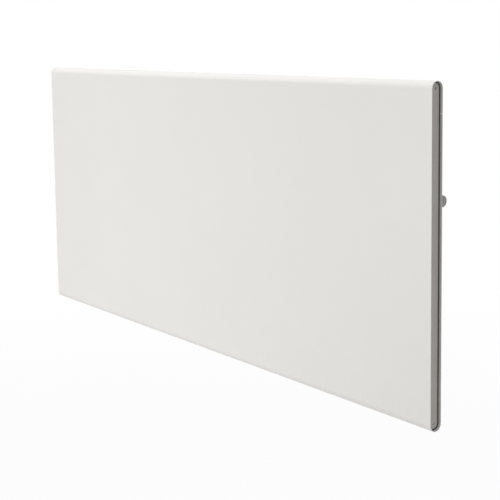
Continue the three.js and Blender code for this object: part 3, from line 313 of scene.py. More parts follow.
def make_floor():
    """A pale floor that keeps the heater's shadow near it and fades into the white surround."""
    bm = bmesh.new()
    bmesh.ops.create_circle(bm, cap_ends=True, segments=FLOOR_STEPS, radius=FLOOR_RADIUS)
    bmesh.ops.translate(bm, verts=bm.verts, vec=(0, 0, -FLOOR_DROP))
    mesh = bpy.data.meshes.new("floor")
    bm.to_mesh(mesh)
    bm.free()
    floor = bpy.data.objects.new("floor", mesh)
    bpy.context.scene.collection.objects.link(floor)
    material = bpy.data.materials.new("pale floor")
    material.use_nodes = True
    tree = material.node_tree
    tree.nodes.clear()
    place = add_node(tree, "ShaderNodeTexCoord").outputs["Object"]
    flat = add_node(tree, "ShaderNodeVectorMath", {0: place, 1: (1, 1, 0)}, operation="MULTIPLY")
    middle = add_node(tree, "ShaderNodeVectorMath", {0: flat.outputs[0]}, operation="LENGTH")
    away = middle.outputs["Value"]
    fade = add_node(tree, "ShaderNodeMapRange", {
        "Value": away, "From Min": FLOOR_CLEAR, "From Max": FLOOR_FADED * FLOOR_CLEAR,
    }, interpolation_type="SMOOTHSTEP").outputs[0]
    share = remap(tree, fade, FLOOR_GLOW, 1.0)
    glow = maths(tree, share, seen_rays(tree), "MULTIPLY")
    lit = add_node(tree, "ShaderNodeBsdfDiffuse", {"Color": FLOOR_COLOUR})
    white = add_node(tree, "ShaderNodeEmission", {"Color": WHITE, "Strength": 1.0})
    mix = add_node(tree, "ShaderNodeMixShader", {0: glow, 1: lit.outputs[0], 2: white.outputs[0]})
    add_node(tree, "ShaderNodeOutputMaterial", {"Surface": mix.outputs[0]})
    floor.data.materials.append(material)


# Shader groups that the finishes share

def make_group(name, inputs, outputs):
    group = bpy.data.node_groups.new(name, "ShaderNodeTree")
    for socket, kind, value in inputs:
        made = group.interface.new_socket(socket, in_out="INPUT", socket_type=kind)
        if value is not None:
            made.default_value = value
    for socket in outputs:
        group.interface.new_socket(socket, in_out="OUTPUT", socket_type=FLOAT)
    return group, group.nodes.new("NodeGroupInput").outputs, group.nodes.new("NodeGroupOutput").inputs


def noise(tree, vector, scale, detail=2.0, roughness=0.5):
    inputs = {"Vector": vector, "Scale": scale, "Detail": detail, "Roughness": roughness}
    return add_node(tree, "ShaderNodeTexNoise", inputs).outputs["Fac"]


def remap(tree, value, low, high, from_low=0.0, from_high=1.0):
    inputs = {"Value": value, "From Min": from_low, "From Max": from_high, "To Min": low, "To Max": high}
    return add_node(tree, "ShaderNodeMapRange", inputs).outputs[0]


def powder_group():
    """Sprayed powder: slow waves with fine grit on them, and a faint cloud of thicker coat."""
    group, given, made = make_group(
        "powder coat relief",
        [("Vector", VECTOR, None), ("Wave Scale", FLOAT, 520.0), ("Grit Scale", FLOAT, 2600.0)],
        ["Height", "Cloud"],
    )
    waves = noise(group, given["Vector"], given["Wave Scale"], detail=1.5, roughness=0.4)
    grit = noise(group, given["Vector"], given["Grit Scale"], detail=2.0, roughness=0.6)
    faint_grit = maths(group, grit, GRIT_SHARE, "MULTIPLY")
    group.links.new(maths(group, waves, faint_grit), made["Height"])
    cloud = noise(group, given["Vector"], POWDER_CLOUD, detail=3.0, roughness=0.55)
    group.links.new(remap(group, cloud, 0.0, 1.0, *CLOUD_RANGE), made["Cloud"])
    return group


def grain_group():
    """Moulded plastic: a spark-eroded grain of small pits, and a slow change in the colour."""
    group, given, made = make_group(
        "moulded grain",
        [("Vector", VECTOR, None), ("Grain Scale", FLOAT, 2200.0)],
        ["Height", "Cloud"],
    )
    pits = add_node(group, "ShaderNodeTexVoronoi", {
        "Vector": given["Vector"], "Scale": given["Grain Scale"], "Randomness": 1.0,
    }).outputs["Distance"]
    between = maths(group, given["Grain Scale"], PIT_SHARE, "MULTIPLY")
    rough = noise(group, given["Vector"], between, detail=3.0, roughness=0.6)
    group.links.new(maths(group, pits, rough), made["Height"])
    cloud = noise(group, given["Vector"], GRAIN_CLOUD, detail=3.0, roughness=0.5)
    group.links.new(remap(group, cloud, 0.0, 1.0, *CLOUD_RANGE), made["Cloud"])
    return group


def spangle_group():
    """Zinc on steel: crystals with straight borders, and fine scratches from handling."""
    group, given, made = make_group(
        "zinc spangle",
        [("Vector", VECTOR, None), ("Crystal Scale", FLOAT, 260.0)],
        ["Height", "Cloud", "Scratch"],
    )
    crystals = add_node(group, "ShaderNodeTexVoronoi", {
        "Vector": given["Vector"], "Scale": given["Crystal Scale"], "Randomness": 1.0,
    })
    shade = add_node(group, "ShaderNodeSeparateColor", {0: crystals.outputs["Color"]}).outputs[0]
    group.links.new(shade, made["Cloud"])
    stretched = add_node(group, "ShaderNodeMapping", {
        "Vector": given["Vector"], "Rotation": SCRATCH_TURN, "Scale": SCRATCH_STRETCH,
    }).outputs[0]
    lines = noise(group, stretched, SCRATCH_SCALE, detail=3.0, roughness=0.7)
    scratch = remap(group, lines, 0.0, 1.0, *SCRATCH_RANGE)
    group.links.new(scratch, made["Scratch"])
    group.links.new(maths(group, crystals.outputs["Distance"], scratch, "SUBTRACT"), made["Height"])
    return group


def drawn_group():
    """Extruded or drawn metal: die lines along X."""
    group, given, made = make_group(
        "die lines",
        [("Vector", VECTOR, None), ("Line Scale", FLOAT, 900.0)],
        ["Height", "Cloud"],
    )
    stretched = add_node(group, "ShaderNodeMapping", {
        "Vector": given["Vector"], "Scale": DIE_STRETCH,
    }).outputs[0]
    lines = noise(group, stretched, given["Line Scale"], detail=4.0, roughness=0.7)
    group.links.new(lines, made["Height"])
    cloud = noise(group, given["Vector"], DRAWN_CLOUD, detail=2.0, roughness=0.5)
    group.links.new(cloud, made["Cloud"])
    return group


GROUPS = {
    "powder": powder_group(),
    "grain": grain_group(),
    "spangle": spangle_group(),
    "drawn": drawn_group(),
}


def finish(name, relief, pale, deep, roughness, bump, metallic=0.0, coat=0.0, scales=None):
    """A material whose colour and gloss drift between two values, with one group's relief."""
    material = bpy.data.materials.new(name)
    material.use_nodes = True
    tree = material.node_tree
    tree.nodes.clear()
    place = add_node(tree, "ShaderNodeTexCoord").outputs["Object"]
    surface = add_node(tree, "ShaderNodeGroup", node_tree=GROUPS[relief])
    set_value(tree, surface.inputs["Vector"], place)
    for socket, value in (scales or {}).items():
        surface.inputs[socket].default_value = value
    cloud = surface.outputs["Cloud"]
    colour = add_node(tree, "ShaderNodeMix", {
        0: cloud, MIX_FIRST: (*deep, 1), MIX_SECOND: (*pale, 1),
    }, data_type="RGBA")
    gloss = remap(tree, cloud, *roughness)
    if "Scratch" in surface.outputs:
        duller = maths(tree, surface.outputs["Scratch"], SCRATCH_GLOSS, "MULTIPLY")
        gloss = maths(tree, gloss, duller)
    strength, distance = bump
    normal = add_node(tree, "ShaderNodeBump", {
        "Height": surface.outputs["Height"], "Strength": strength, "Distance": distance,
    })
    shader = add_node(tree, "ShaderNodeBsdfPrincipled", {
        "Base Color": colour.outputs[MIX_RESULT], "Roughness": gloss, "Normal": normal.outputs[0],
        "Metallic": metallic, "Coat Weight": coat,
    })
    add_node(tree, "ShaderNodeOutputMaterial", {"Surface": shader.outputs[0]})
    return material


FINISHES = {
    "white_paint": finish(
        "white powder coat", "powder",
        (0.79, 0.775, 0.748), (0.775, 0.76, 0.733),
        (0.36, 0.3), (0.25, 0.15 * MM),
    ),
    "grey_plastic": finish(
        "grey moulded plastic", "grain",
        (0.66, 0.63, 0.593), (0.63, 0.6, 0.562),
        (0.6, 0.5), (0.3, 0.08 * MM),
    ),
    "pale_grey_plastic": finish(
        "pale grey moulded plastic", "grain",
        (0.5, 0.48, 0.455), (0.47, 0.45, 0.43),
        (0.55, 0.45), (0.25, 0.06 * MM),
    ),
    "white_plastic": finish(
        "off-white moulded plastic", "grain",
        (0.75, 0.735, 0.7), (0.72, 0.7, 0.665),
        (0.55, 0.45), (0.25, 0.06 * MM),
    ),
    "dark_plastic": finish(
        "dark grey moulded plastic", "grain",
        (0.045, 0.045, 0.048), (0.035, 0.035, 0.037),
        (0.5, 0.38), (0.25, 0.05 * MM),
    ),
    "zinc_steel": finish(
        "zinc-plated steel", "spangle",
        (0.66, 0.665, 0.67), (0.52, 0.53, 0.54),
        (0.34, 0.46), (0.12, 0.03 * MM),
        metallic=1.0,
    ),
    "aluminium": finish(
        "extruded aluminium", "drawn",
        (0.8, 0.81, 0.82), (0.68, 0.69, 0.7),
        (0.42, 0.3), (0.2, 0.03 * MM),
        metallic=1.0,
    ),
    "steel_tube": finish(
        "heat-tinted steel tube", "drawn",
        (0.5, 0.45, 0.38), (0.36, 0.31, 0.27),
        (0.5, 0.35), (0.15, 0.03 * MM),
        metallic=1.0,
    ),
    "ceramic": finish(
        "unglazed steatite", "grain",
        (0.78, 0.72, 0.62), (0.7, 0.64, 0.54),
        (0.75, 0.6), (0.35, 0.08 * MM),
        scales={"Grain Scale": 1400.0},
    ),
    "circuit_board": finish(
        "green circuit board", "drawn",
        (0.03, 0.16, 0.07), (0.02, 0.1, 0.045),
        (0.4, 0.3), (0.15, 0.03 * MM),
        coat=0.4,
    ),
    "black_rubber": finish(
        "black rubber", "grain",
        (0.085, 0.083, 0.08), (0.065, 0.063, 0.061),
        (0.85, 0.7), (0.4, 0.08 * MM),
    ),
    "red_lens": finish(
        "red lens", "grain",
        (0.5, 0.02, 0.012), (0.4, 0.014, 0.01),
        (0.18, 0.12), (0.05, 0.03 * MM),
        coat=0.6,
    ),
    "brown_lead": finish(
        "brown silicone insulation", "grain",
        (0.16, 0.075, 0.035), (0.13, 0.06, 0.03),
        (0.5, 0.4), (0.15, 0.05 * MM),
    ),
    "blue_lead": finish(
        "blue silicone insulation", "grain",
        (0.03, 0.12, 0.36), (0.022, 0.095, 0.3),
        (0.5, 0.4), (0.15, 0.05 * MM),
    ),
}


# Shaping

def in_order(bm):
    """The same mesh, its points and faces in a fixed order. Spin, extrude and bevel don't keep one."""
    points = sorted(bm.verts, key=lambda vert: vert.co[:])
    numbers = {vert: number for number, vert in enumerate(points)}
    rows = []
    for face in bm.faces:
        row = [numbers[vert] for vert in face.verts]
        first = row.index(min(row))
        rows.append(row[first:] + row[:first])
    made = bmesh.new()
    copies = [made.verts.new(vert.co) for vert in points]
    for row in sorted(rows):
        made.faces.new([copies[number] for number in row])
    made.normal_update()
    bm.free()
    return made


def round_edges(bm, width, segments=2):
    """Rounds each edge that is sharper than SHARP_EDGE."""
    edges = [edge for edge in bm.edges if edge.calc_face_angle(0.0) > SHARP_EDGE]
    bmesh.ops.bevel(
        bm, geom=edges, offset=width, segments=segments, profile=0.5, affect="EDGES", material=-1,
    )


def make_piece(bm, name, node, slot=None):
    """Stores a shaped mesh as a piece that rides with a CAD node, in the node's slot or its own."""
    for face in bm.faces:
        face.smooth = True
    mesh = bpy.data.meshes.new(name)
    bm.to_mesh(mesh)
    bm.free()
    mesh.set_sharp_from_angle(angle=SHARP_SHADE)
    piece = bpy.data.objects.new(name, mesh)
    bpy.context.scene.collection.objects.link(piece)
    flat_faces = piece.modifiers.new("flat faces", "WEIGHTED_NORMAL")
    flat_faces.keep_sharp = True
    slot = slot or node_slots[node]
    mesh.materials.append(FINISHES[slot])
    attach(piece, frame["nodes"][node]["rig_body"])
    return piece


def stand_for(bm, node):
    """Stores a shaped mesh as the piece that is seen in place of a CAD node."""
    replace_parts(make_piece(bm, node + "_finished", node), node)


def merge_flats(bm):
    """Joins the triangles of each flat face."""
    bmesh.ops.dissolve_limit(bm, angle_limit=FLAT_ANGLE, verts=bm.verts, edges=bm.edges)


def merged_copy(node):
    """A node's own solid with its triangles merged back into flat faces."""
    bm = bmesh.new()
    bm.from_mesh(frame["nodes"][node].data)
    bmesh.ops.remove_doubles(bm, verts=bm.verts, dist=WELD)
    merge_flats(bm)
    return bm


def soften(node, width=SOFT_EDGE, split=False):
    """A node's solid with rounded edges. A plate with many holes is split into triangles first."""
    bm = merged_copy(node)
    if split:
        bmesh.ops.triangulate(bm, faces=bm.faces)
    if width:
        round_edges(bm, width)
    stand_for(bm, node)


# Panel

def front_shell():
    """One sheet: a flange, over the top roll, down the front, round the bottom roll, a flange."""
    bm = bmesh.new()
    tip = bm.verts.new((shell_low.x, shell_high.y, SEAM_Z))

    def straight(tip, y, z):
        made = bmesh.ops.extrude_vert_indiv(bm, verts=[tip])["verts"][0]
        made.co = (shell_low.x, y, z)
        return made

    def half_turn(tip, z):
        cent = (shell_low.x, roll_y, z)
        made = bmesh.ops.spin(bm, geom=[tip], cent=cent, axis=RIGHT, angle=math.pi, steps=ROLL_STEPS)
        return next(item for item in made["geom_last"] if isinstance(item, bmesh.types.BMVert))

    tip = straight(tip, shell_high.y, roll_z)
    tip = half_turn(tip, roll_z)
    tip = straight(tip, shell_low.y, -roll_z)
    tip = half_turn(tip, -roll_z)
    straight(tip, shell_high.y, -SEAM_Z)
    made = bmesh.ops.extrude_edge_only(bm, edges=bm.edges[:])["geom"]
    far = [item for item in made if isinstance(item, bmesh.types.BMVert)]
    bmesh.ops.translate(bm, verts=far, vec=(shell_high.x - shell_low.x, 0, 0))
    bmesh.ops.remove_doubles(bm, verts=bm.verts, dist=WELD)
    bm = in_order(bm)
    bmesh.ops.solidify(bm, geom=bm.faces[:], thickness=-SHEET)
    bmesh.ops.recalc_face_normals(bm, faces=bm.faces)
    round_edges(bm, CUT_EDGE, segments=3)
    stand_for(bm, "front_shell")


def outline_ring(bm, x, radius):
    """The panel's end outline, round both rolls' middles, at a place along X."""
    ring = []
    for z, first in ((roll_z, 0), (-roll_z, math.pi)):
        for step in range(ROLL_STEPS + 1):
            turn = first + math.pi * step / ROLL_STEPS
            ring.append(bm.verts.new((x, roll_y + radius * math.cos(turn), z + radius * math.sin(turn))))
    return ring


def skin(bm, rings):
    """Joins each ring to the next one with a band of faces."""
    for near, far in zip(rings, rings[1:]):
        for corners in zip(near, near[1:] + near[:1], far[1:] + far[:1], far):
            bm.faces.new(corners)


def end_cap(node, side):
    """A hollow plug with a groove round its face, a black ring in it as painted shade, and a sunk screw
    at each roll's middle.
    """
    low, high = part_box(node)
    face_x, foot_x = (high.x, low.x) if side > 0 else (low.x, high.x)
    radius = (high.y - low.y) / 2
    levels = [
        (face_x - side * CAP_FACE, radius - CAP_WALL),
        (foot_x, radius - CAP_WALL),
        (foot_x, radius),
        (face_x - side * CAP_GROOVE_DEPTH, radius),
        (face_x - side * CAP_GROOVE_DEPTH, radius - CAP_GROOVE),
        (face_x, radius - CAP_GROOVE),
    ]
    bm = bmesh.new()
    rings = [outline_ring(bm, *level) for level in levels]
    skin(bm, rings)
    bm.faces.new(rings[0])
    bm.faces.new(rings[-1])
    bmesh.ops.recalc_face_normals(bm, faces=bm.faces)
    round_edges(bm, CAP_EDGE, segments=3)
    # painted shade: a black ring laid in the cap's groove
    cap_shade_ring(node, side, face_x, radius)
    for name, z in (("upper", roll_z), ("lower", -roll_z)):
        place = Vector((face_x, roll_y, z))
        bm = combined(bm, put(screw_pocket(), place, (side, 0, 0)))
        seat = place - Vector((side * CAP_SCREW_DEPTH, 0, 0))
        head = cross_head(CAP_SCREW * CAP_SCREW_FIT, CAP_SCREW_DEPTH * CAP_SCREW_RISE)
        make_piece(put(head, seat, (side, 0, 0)), f"{node}_screw_{name}", node, "zinc_steel")
    stand_for(bm, node)


def cap_shade_ring(node, side, face_x, radius):
    """A black rubber ring in a cap's groove, with a lip that reaches the shell. It is painted shade: it
    makes the groove darker than its depth alone would shade it.
    """
    outer, inner = radius + GAP - WELD, radius - CAP_GROOVE + WELD
    top, foot = face_x + side * SHADE_RING_RISE, face_x - side * (CAP_GROOVE_DEPTH - WELD)
    lip = top - side * SHADE_RING_RISE / 2
    levels = [(foot, inner), (foot, radius), (lip, radius), (lip, outer), (top, outer), (top, inner)]
    shade_ring = bmesh.new()
    skin(shade_ring, [outline_ring(shade_ring, *level) for level in levels + levels[:1]])
    bmesh.ops.remove_doubles(shade_ring, verts=shade_ring.verts, dist=FINE_WELD)
    bmesh.ops.recalc_face_normals(shade_ring, faces=shade_ring.faces)
    round_edges(shade_ring, SHADE_RING_EDGE)
    make_piece(shade_ring, node + "_shade_ring", node, "black_rubber")


def screw_pocket():
    """The body that a cap screw's pocket is cut with, round local Z."""
    mouth, floor = CUT_REACH, -CAP_SCREW_DEPTH
    return turned([(0, mouth), (CAP_SCREW, mouth), (CAP_SCREW, floor), (0, floor)])


def put(bm, place, axis):
    """Moves a body drawn round local Z to a place and an axis."""
    turn = Vector(axis).to_track_quat("Z", "Y").to_matrix().to_4x4()
    bmesh.ops.transform(bm, matrix=Matrix.Translation(place) @ turn, verts=bm.verts)
    return bm


def turned(profile, steps=ROUND_STEPS):
    """A body of revolution round local Z, from pairs of radius and height."""
    bm = bmesh.new()
    chain = [bm.verts.new((radius, 0, height)) for radius, height in profile]
    edges = [bm.edges.new(pair) for pair in zip(chain, chain[1:])]
    bmesh.ops.spin(
        bm, geom=chain + edges, cent=(0, 0, 0), axis=Z_UP,
        angle=2 * math.pi, steps=steps, use_merge=True,
    )
    bmesh.ops.remove_doubles(bm, verts=bm.verts, dist=WELD)
    bmesh.ops.recalc_face_normals(bm, faces=bm.faces)
    return in_order(bm)


def arc(radius, height, corner, steps=4):
    """Points round an outer corner, from its side to its top."""
    turns = [math.pi / 2 * step / steps for step in range(steps + 1)]
    return [
        (radius - corner + corner * math.cos(turn), height - corner + corner * math.sin(turn))
        for turn in turns
    ]


def bar(size, place, taper=1.0):
    """A block with its middle at a place. The taper narrows its foot."""
    bm = bmesh.new()
    bmesh.ops.create_cube(bm, size=1)
    foot = [vert for vert in bm.verts if vert.co.z < 0]
    bmesh.ops.scale(bm, verts=foot, vec=(taper, taper, 1))
    bmesh.ops.scale(bm, verts=bm.verts, vec=size)
    bmesh.ops.translate(bm, verts=bm.verts, vec=place)
    return bm


def extruded(outline, along):
    """A closed flat outline, drawn out into a body."""
    bm = bmesh.new()
    face = bm.faces.new([bm.verts.new(point) for point in outline])
    made = bmesh.ops.extrude_face_region(bm, geom=[face])["geom"]
    moved = [item for item in made if isinstance(item, bmesh.types.BMVert)]
    bmesh.ops.translate(bm, verts=moved, vec=along)
    bmesh.ops.recalc_face_normals(bm, faces=bm.faces)
    return in_order(bm)


def add_to(bm, other):
    """Puts a second body into the first one's mesh."""
    mesh = bpy.data.meshes.new("added")
    other.to_mesh(mesh)
    other.free()
    bm.from_mesh(mesh)
    bpy.data.meshes.remove(mesh)


def combined(bm, tool, operation="DIFFERENCE"):
    """The first closed body less the second one, or joined with it."""
    things = []
    for body in (bm, tool):
        mesh = bpy.data.meshes.new("body")
        body.to_mesh(mesh)
        body.free()
        things.append(bpy.data.objects.new("body", mesh))
        bpy.context.scene.collection.objects.link(things[-1])
    step = things[0].modifiers.new("step", "BOOLEAN")
    step.operation = operation
    step.solver = "EXACT"
    step.object = things[1]
    made = bmesh.new()
    made.from_object(things[0], bpy.context.evaluated_depsgraph_get())
    for thing in things:
        bpy.data.meshes.remove(thing.data)
    return made


def cross_head(radius, height, shank=0.0, length=0.0):
    """A pan head on local Z zero, with a cross recess, and its shank below."""
    dome = [math.pi / 2 * step / HEAD_STEPS for step in range(HEAD_STEPS + 1)]
    rise = height * HEAD_RIM
    profile = [(radius, 0)] + [
        (radius * math.cos(turn) ** HEAD_CURVE, rise + (height - rise) * math.sin(turn))
        for turn in dome
    ]
    if shank:
        tip = [(0, -length), (shank * TIP_RADIUS, -length), (shank, -length + shank / 2)]
        profile = tip + [(shank, 0)] + profile
    else:
        profile = [(0, 0)] + profile
    profile[-1] = (0, height)
    bm = turned(profile, SMALL_ROUND_STEPS)
    depth, width = height * RECESS_DEPTH, radius * RECESS_WIDTH
    for size in ((radius, width, depth * 2), (width, radius, depth * 2)):
        bm = combined(bm, bar(size, (0, 0, height), RECESS_TAPER))
    return bm


def cross_screw(node, axis, height, shank):
    """A screw in place of a node, its head toward the axis."""
    low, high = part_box(node)
    axis = Vector(axis)
    middle = (low + high) / 2
    size = high - low
    length = size.dot(axis)
    radius = size.z / 2
    seat = middle + axis * (length / 2 - height)
    stand_for(put(cross_head(radius, height, shank, length - height), seat, axis), node)


def thermostat_dial():
    """A fluted knob with a socket, a ring groove round its dished face and a raised pointer."""
    low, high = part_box("thermostat_dial")
    middle = (low + high) / 2
    radius = (high.z - low.z) / 2
    height = high.x - low.x - POINTER_HEIGHT
    groove = radius * GROOVE_PLACE
    shaft_low, shaft_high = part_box("dial_shaft")
    bore, depth = (shaft_high.z - shaft_low.z) / 2 + GAP, shaft_high.x - low.x + GAP
    profile = [(0, depth), (bore, depth), (bore, 0), (radius - DIAL_FOOT, 0), (radius, DIAL_FOOT)]
    profile += arc(radius, height, DIAL_EDGE, DIAL_EDGE_STEPS) + [
        (groove + GROOVE_WIDTH, height),
        (groove + GROOVE_WIDTH * (1 - GROOVE_SLANT), height - GROOVE_DEPTH),
        (groove + GROOVE_WIDTH * GROOVE_SLANT, height - GROOVE_DEPTH),
        (groove, height),
        (groove * DISH_BEND, height - DIAL_DISH * DISH_BEND_DEPTH),
        (0, height - DIAL_DISH),
    ]
    bm = turned(profile, DIAL_FLUTES * FLUTE_STEPS)
    for vert in bm.verts:
        reach = math.hypot(vert.co.x, vert.co.y)
        if reach > radius - 2 * FLUTE_DEPTH:
            wave = (1 + math.cos(DIAL_FLUTES * math.atan2(vert.co.y, vert.co.x))) / 2
            share = 1 - FLUTE_DEPTH * wave ** 2 / reach
            vert.co.x *= share
            vert.co.y *= share
    length = radius - DIAL_EDGE - FLUTE_DEPTH
    lift = height + POINTER_HEIGHT / 2 - DIAL_DISH / 2
    pointer = bar((POINTER_WIDTH, length, POINTER_HEIGHT + DIAL_DISH), (0, length / 2, lift))
    round_edges(pointer, FINE_EDGE, segments=3)
    add_to(bm, pointer)
    stand_for(put(bm, (low.x, middle.y, middle.z), RIGHT), "thermostat_dial")


def dial_collar():
    """The CAD ring with rounded edges, and the dark ticks that the dial's pointer turns past."""
    low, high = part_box("dial_collar")
    middle = (low + high) / 2
    soften("dial_collar", COLLAR_EDGE)
    reach = (high.z - low.z) / 2 - TICK_INSET
    ticks = bmesh.new()
    for step in range(TICK_COUNT):
        turn = TICK_SWEEP * (step / (TICK_COUNT - 1) - 0.5)
        tick = bar((TICK_WIDTH, TICK_LENGTH, 2 * TICK_RELIEF), (0, reach - TICK_LENGTH / 2, 0))
        bmesh.ops.rotate(tick, verts=tick.verts, cent=(0, 0, 0), matrix=Matrix.Rotation(turn, 3, "Z"))
        add_to(ticks, put(tick, (high.x, middle.y, middle.z), RIGHT))
    make_piece(ticks, "dial_ticks", "dial_collar", "dark_plastic")


def rocker():
    """A paddle with rounded edges, a white bar on its upper half and a white ring on its lower half."""
    sweep = (math.pi + 2 * ROCKER_END) / ROCKER_STEPS
    turns = [math.pi - ROCKER_END + sweep * step for step in range(ROCKER_STEPS + 1)]
    outline = [(ROCKER_REACH * math.sin(turn), ROCKER_REACH * math.cos(turn)) for turn in turns]
    outline.append((ROCKER_VALLEY, 0))
    half_width = ROCKER_WIDTH / 2
    bm = extruded([(x, -half_width, z) for x, z in outline], (0, ROCKER_WIDTH, 0))
    round_edges(bm, ROCKER_EDGE, segments=3)
    tilted = Matrix.Translation(ROCKER_PIVOT) @ Matrix.Rotation(ROCKER_TILT, 4, "Y")
    bmesh.ops.transform(bm, matrix=tilted, verts=bm.verts)
    stand_for(bm, "rocker")
    inner = MARK_LENGTH / 2 - MARK_WIDTH
    outer = inner + MARK_WIDTH
    ring = [(inner, 0), (inner, MARK_RELIEF), (outer, MARK_RELIEF), (outer, 0), (inner, 0)]
    marks = {1: bar((MARK_WIDTH, MARK_LENGTH, 2 * MARK_RELIEF), (0, 0, 0)), -1: turned(ring)}
    for half, mark in marks.items():
        place = Vector((MARK_PLACE.x, 0, half * MARK_PLACE.z))
        put(mark, (0, 0, 0), RIGHT)
        slope = Matrix.Rotation(half * ROCKER_SLOPE, 4, "Y")
        bmesh.ops.transform(mark, matrix=tilted @ Matrix.Translation(place) @ slope, verts=mark.verts)
        make_piece(mark, "rocker_mark_on" if half > 0 else "rocker_mark_off", "rocker", "white_plastic")


def indicator_lens():
    """A lens with a rim, a crease inside it and a domed middle."""
    low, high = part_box("indicator_lens")
    middle = (low + high) / 2
    radius = (high.z - low.z) / 2
    height = high.x - low.x
    seat = height - LENS_DOME - LENS_RIM
    inner = radius - LENS_LEDGE
    profile = [(0, 0), (inner, 0), (inner, seat), (radius, seat)]
    profile += arc(radius, seat + LENS_RIM, LENS_EDGE)
    profile += [(inner + LENS_CREASE, seat + LENS_RIM), (inner, seat + LENS_RIM - LENS_CREASE)]
    for step in range(1, LENS_STEPS + 1):
        turn = math.pi / 2 * step / LENS_STEPS
        profile.append((inner * math.cos(turn), seat + LENS_RIM + LENS_DOME * math.sin(turn)))
    profile[-1] = (0, height)
    stand_for(put(turned(profile), (low.x, middle.y, middle.z), RIGHT), "indicator_lens")


def bumper(node):
    """A rubber foot with a flange, a rounded tip and a dimple in it."""
    low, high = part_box(node)
    middle = (low + high) / 2
    base = (high.z - low.z) / 2
    height = high.y - low.y
    tip = base * BUMPER_TIP
    floor = height - DIMPLE_DEPTH
    profile = [(0, 0), (base, 0)] + arc(base, BUMPER_FLANGE, BUMPER_EDGE)
    profile += arc(tip, height, BUMPER_ROUND)
    profile += [(tip * DIMPLE_MOUTH, height), (tip * DIMPLE_FLOOR, floor), (0, floor)]
    stand_for(put(turned(profile), (middle.x, low.y, middle.z), TO_WALL), node)


def sensor_probe():
    """A round-ended bead that hangs below its grommet."""
    low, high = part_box("sensor_probe")
    middle = (low + high) / 2
    radius = (high.x - low.x) / 2
    length = high.z - low.z
    profile = [(0, 0), (radius, 0)] + arc(radius, length, radius, PROBE_STEPS)
    bead = turned(profile, SMALL_ROUND_STEPS)
    stand_for(put(bead, (middle.x, middle.y, high.z), DOWN), "sensor_probe")


def slot_cell(bm, middle, half_width):
    """One slot with the plate round it, as a ring of faces whose corners meet the next cell's."""
    corner = []
    side, end = SLOT_WIDTH / 2 - SLOT_ROUND, half_width - SLOT_MARGIN - SLOT_ROUND
    for step in range(SLOT_STEPS + 1):
        turn = math.pi / 2 * step / SLOT_STEPS
        inner = (side + SLOT_ROUND * math.cos(turn), end + SLOT_ROUND * math.sin(turn))
        share = 2 * step / SLOT_STEPS
        across = (SLOT_PITCH / 2, end + (half_width - end) * share)
        along = (SLOT_PITCH / 2 + (side - SLOT_PITCH / 2) * (share - 1), half_width)
        corner.append((inner, across if share <= 1 else along))
    ring = []
    for x_sign, y_sign in ((1, 1), (-1, 1), (-1, -1), (1, -1)):
        for pair in corner if x_sign == y_sign else reversed(corner):
            ring.append([bm.verts.new(middle + Vector((x_sign * x, y_sign * y, 0))) for x, y in pair])
    for (inner, outer), (next_inner, next_outer) in zip(ring, ring[1:] + ring[:1]):
        bm.faces.new((outer, next_outer, next_inner, inner))


def grille(node, side):
    """A folded strip with a lip along each side and a row of round-ended slots."""
    low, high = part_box(node)
    face_z, lip_z = (high.z, low.z) if side > 0 else (low.z, high.z)
    half_width = (high.y - low.y) / 2
    last = SLOT_PITCH * (SLOT_COUNT - 1) / 2
    bm = bmesh.new()
    for number in range(SLOT_COUNT):
        slot_cell(bm, Vector((number * SLOT_PITCH - last, (low.y + high.y) / 2, face_z)), half_width)
    bmesh.ops.remove_doubles(bm, verts=bm.verts, dist=WELD)

    def drawn_out(chosen, axis, value):
        rim = [edge for edge in bm.edges if edge.is_boundary]
        edges = [edge for edge in rim if all(chosen(vert.co) for vert in edge.verts)]
        made = bmesh.ops.extrude_edge_only(bm, edges=edges)["geom"]
        for vert in made:
            if isinstance(vert, bmesh.types.BMVert):
                vert.co[axis] = value

    end = last + SLOT_PITCH / 2 - WELD
    drawn_out(lambda place: place.x > end, X_AXIS, high.x)
    drawn_out(lambda place: place.x < -end, X_AXIS, low.x)
    drawn_out(lambda place: place.y > high.y - WELD, Z_AXIS, lip_z)
    drawn_out(lambda place: place.y < low.y + WELD, Z_AXIS, lip_z)
    bmesh.ops.recalc_face_normals(bm, faces=bm.faces)
    bm = in_order(bm)
    bmesh.ops.solidify(bm, geom=bm.faces[:], thickness=SHEET)
    bmesh.ops.recalc_face_normals(bm, faces=bm.faces)
    round_edges(bm, CUT_EDGE)
    stand_for(in_order(bm), node)


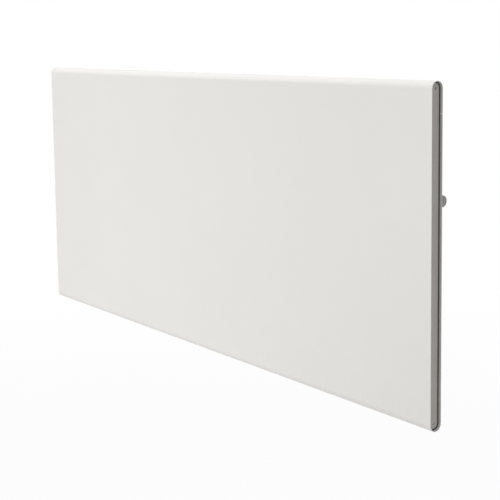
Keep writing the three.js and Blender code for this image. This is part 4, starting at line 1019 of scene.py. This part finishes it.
def bracket_upright(node):
    """The CAD channel with its square wall slots patched, and cut again with round ends."""
    low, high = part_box(node)
    bm = merged_copy(node)
    radius = WALL_SLOT_WIDTH / 2
    for z in (low.z + WALL_SLOT_EDGE, high.z - WALL_SLOT_EDGE):
        place = Vector(((low.x + high.x) / 2, high.y - BRACKET_SHEET / 2, z))
        wide, long = WALL_SLOT_WIDTH + 2 * CUT_REACH, WALL_SLOT_LENGTH + 2 * CUT_REACH
        bm = combined(bm, bar((wide, BRACKET_SHEET, long), place), "UNION")
        outline = []
        for end in (1, -1):
            for step in range(WALL_SLOT_STEPS + 1):
                turn = math.pi * step / WALL_SLOT_STEPS
                across = radius * math.cos(turn)
                along = WALL_SLOT_LENGTH / 2 - radius + radius * math.sin(turn)
                outline.append(place + Vector((end * across, -BRACKET_SHEET, end * along)))
        bm = combined(bm, extruded(outline, (0, 2 * BRACKET_SHEET, 0)))
    merge_flats(bm)
    round_edges(bm, SOFT_EDGE)
    stand_for(bm, node)


# Everything in place

make_camera()
make_world()
make_floor()
for lamp in LAMPS:
    soft_light(*lamp)

front_shell()
end_cap("end_cap_left", -1)
end_cap("end_cap_right", 1)
for number in range(1, 5):
    cross_screw(f"housing_screw_{number}", TO_WALL, HOUSING_SCREW_HEAD, HOUSING_SCREW_SHANK)
for name in ("lower", "upper"):
    cross_screw(f"cover_screw_{name}", RIGHT, COVER_SCREW_HEAD, COVER_SCREW_SHANK)
for side in ("left", "right"):
    bumper(f"bumper_{side}")
    bracket_upright(f"bracket_upright_{side}")
grille("outlet_grille", 1)
grille("inlet_grille", -1)
thermostat_dial()
dial_collar()
rocker()
indicator_lens()
sensor_probe()

# The other nodes are their own solids with rounded edges, or as they are where they are smooth already.
edge_widths = dict.fromkeys(SMOOTH_NODES, 0) | dict.fromkeys(SMALL_FORMS, FINE_EDGE)
done = {node for piece in bpy.data.objects for node in piece.get("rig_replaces", [])}
for node in frame["nodes"]:
    if node not in done:
        soften(node, edge_widths.get(node, SOFT_EDGE), split=node == "control_cover")

bpy.context.scene.view_settings.view_transform = "Standard"
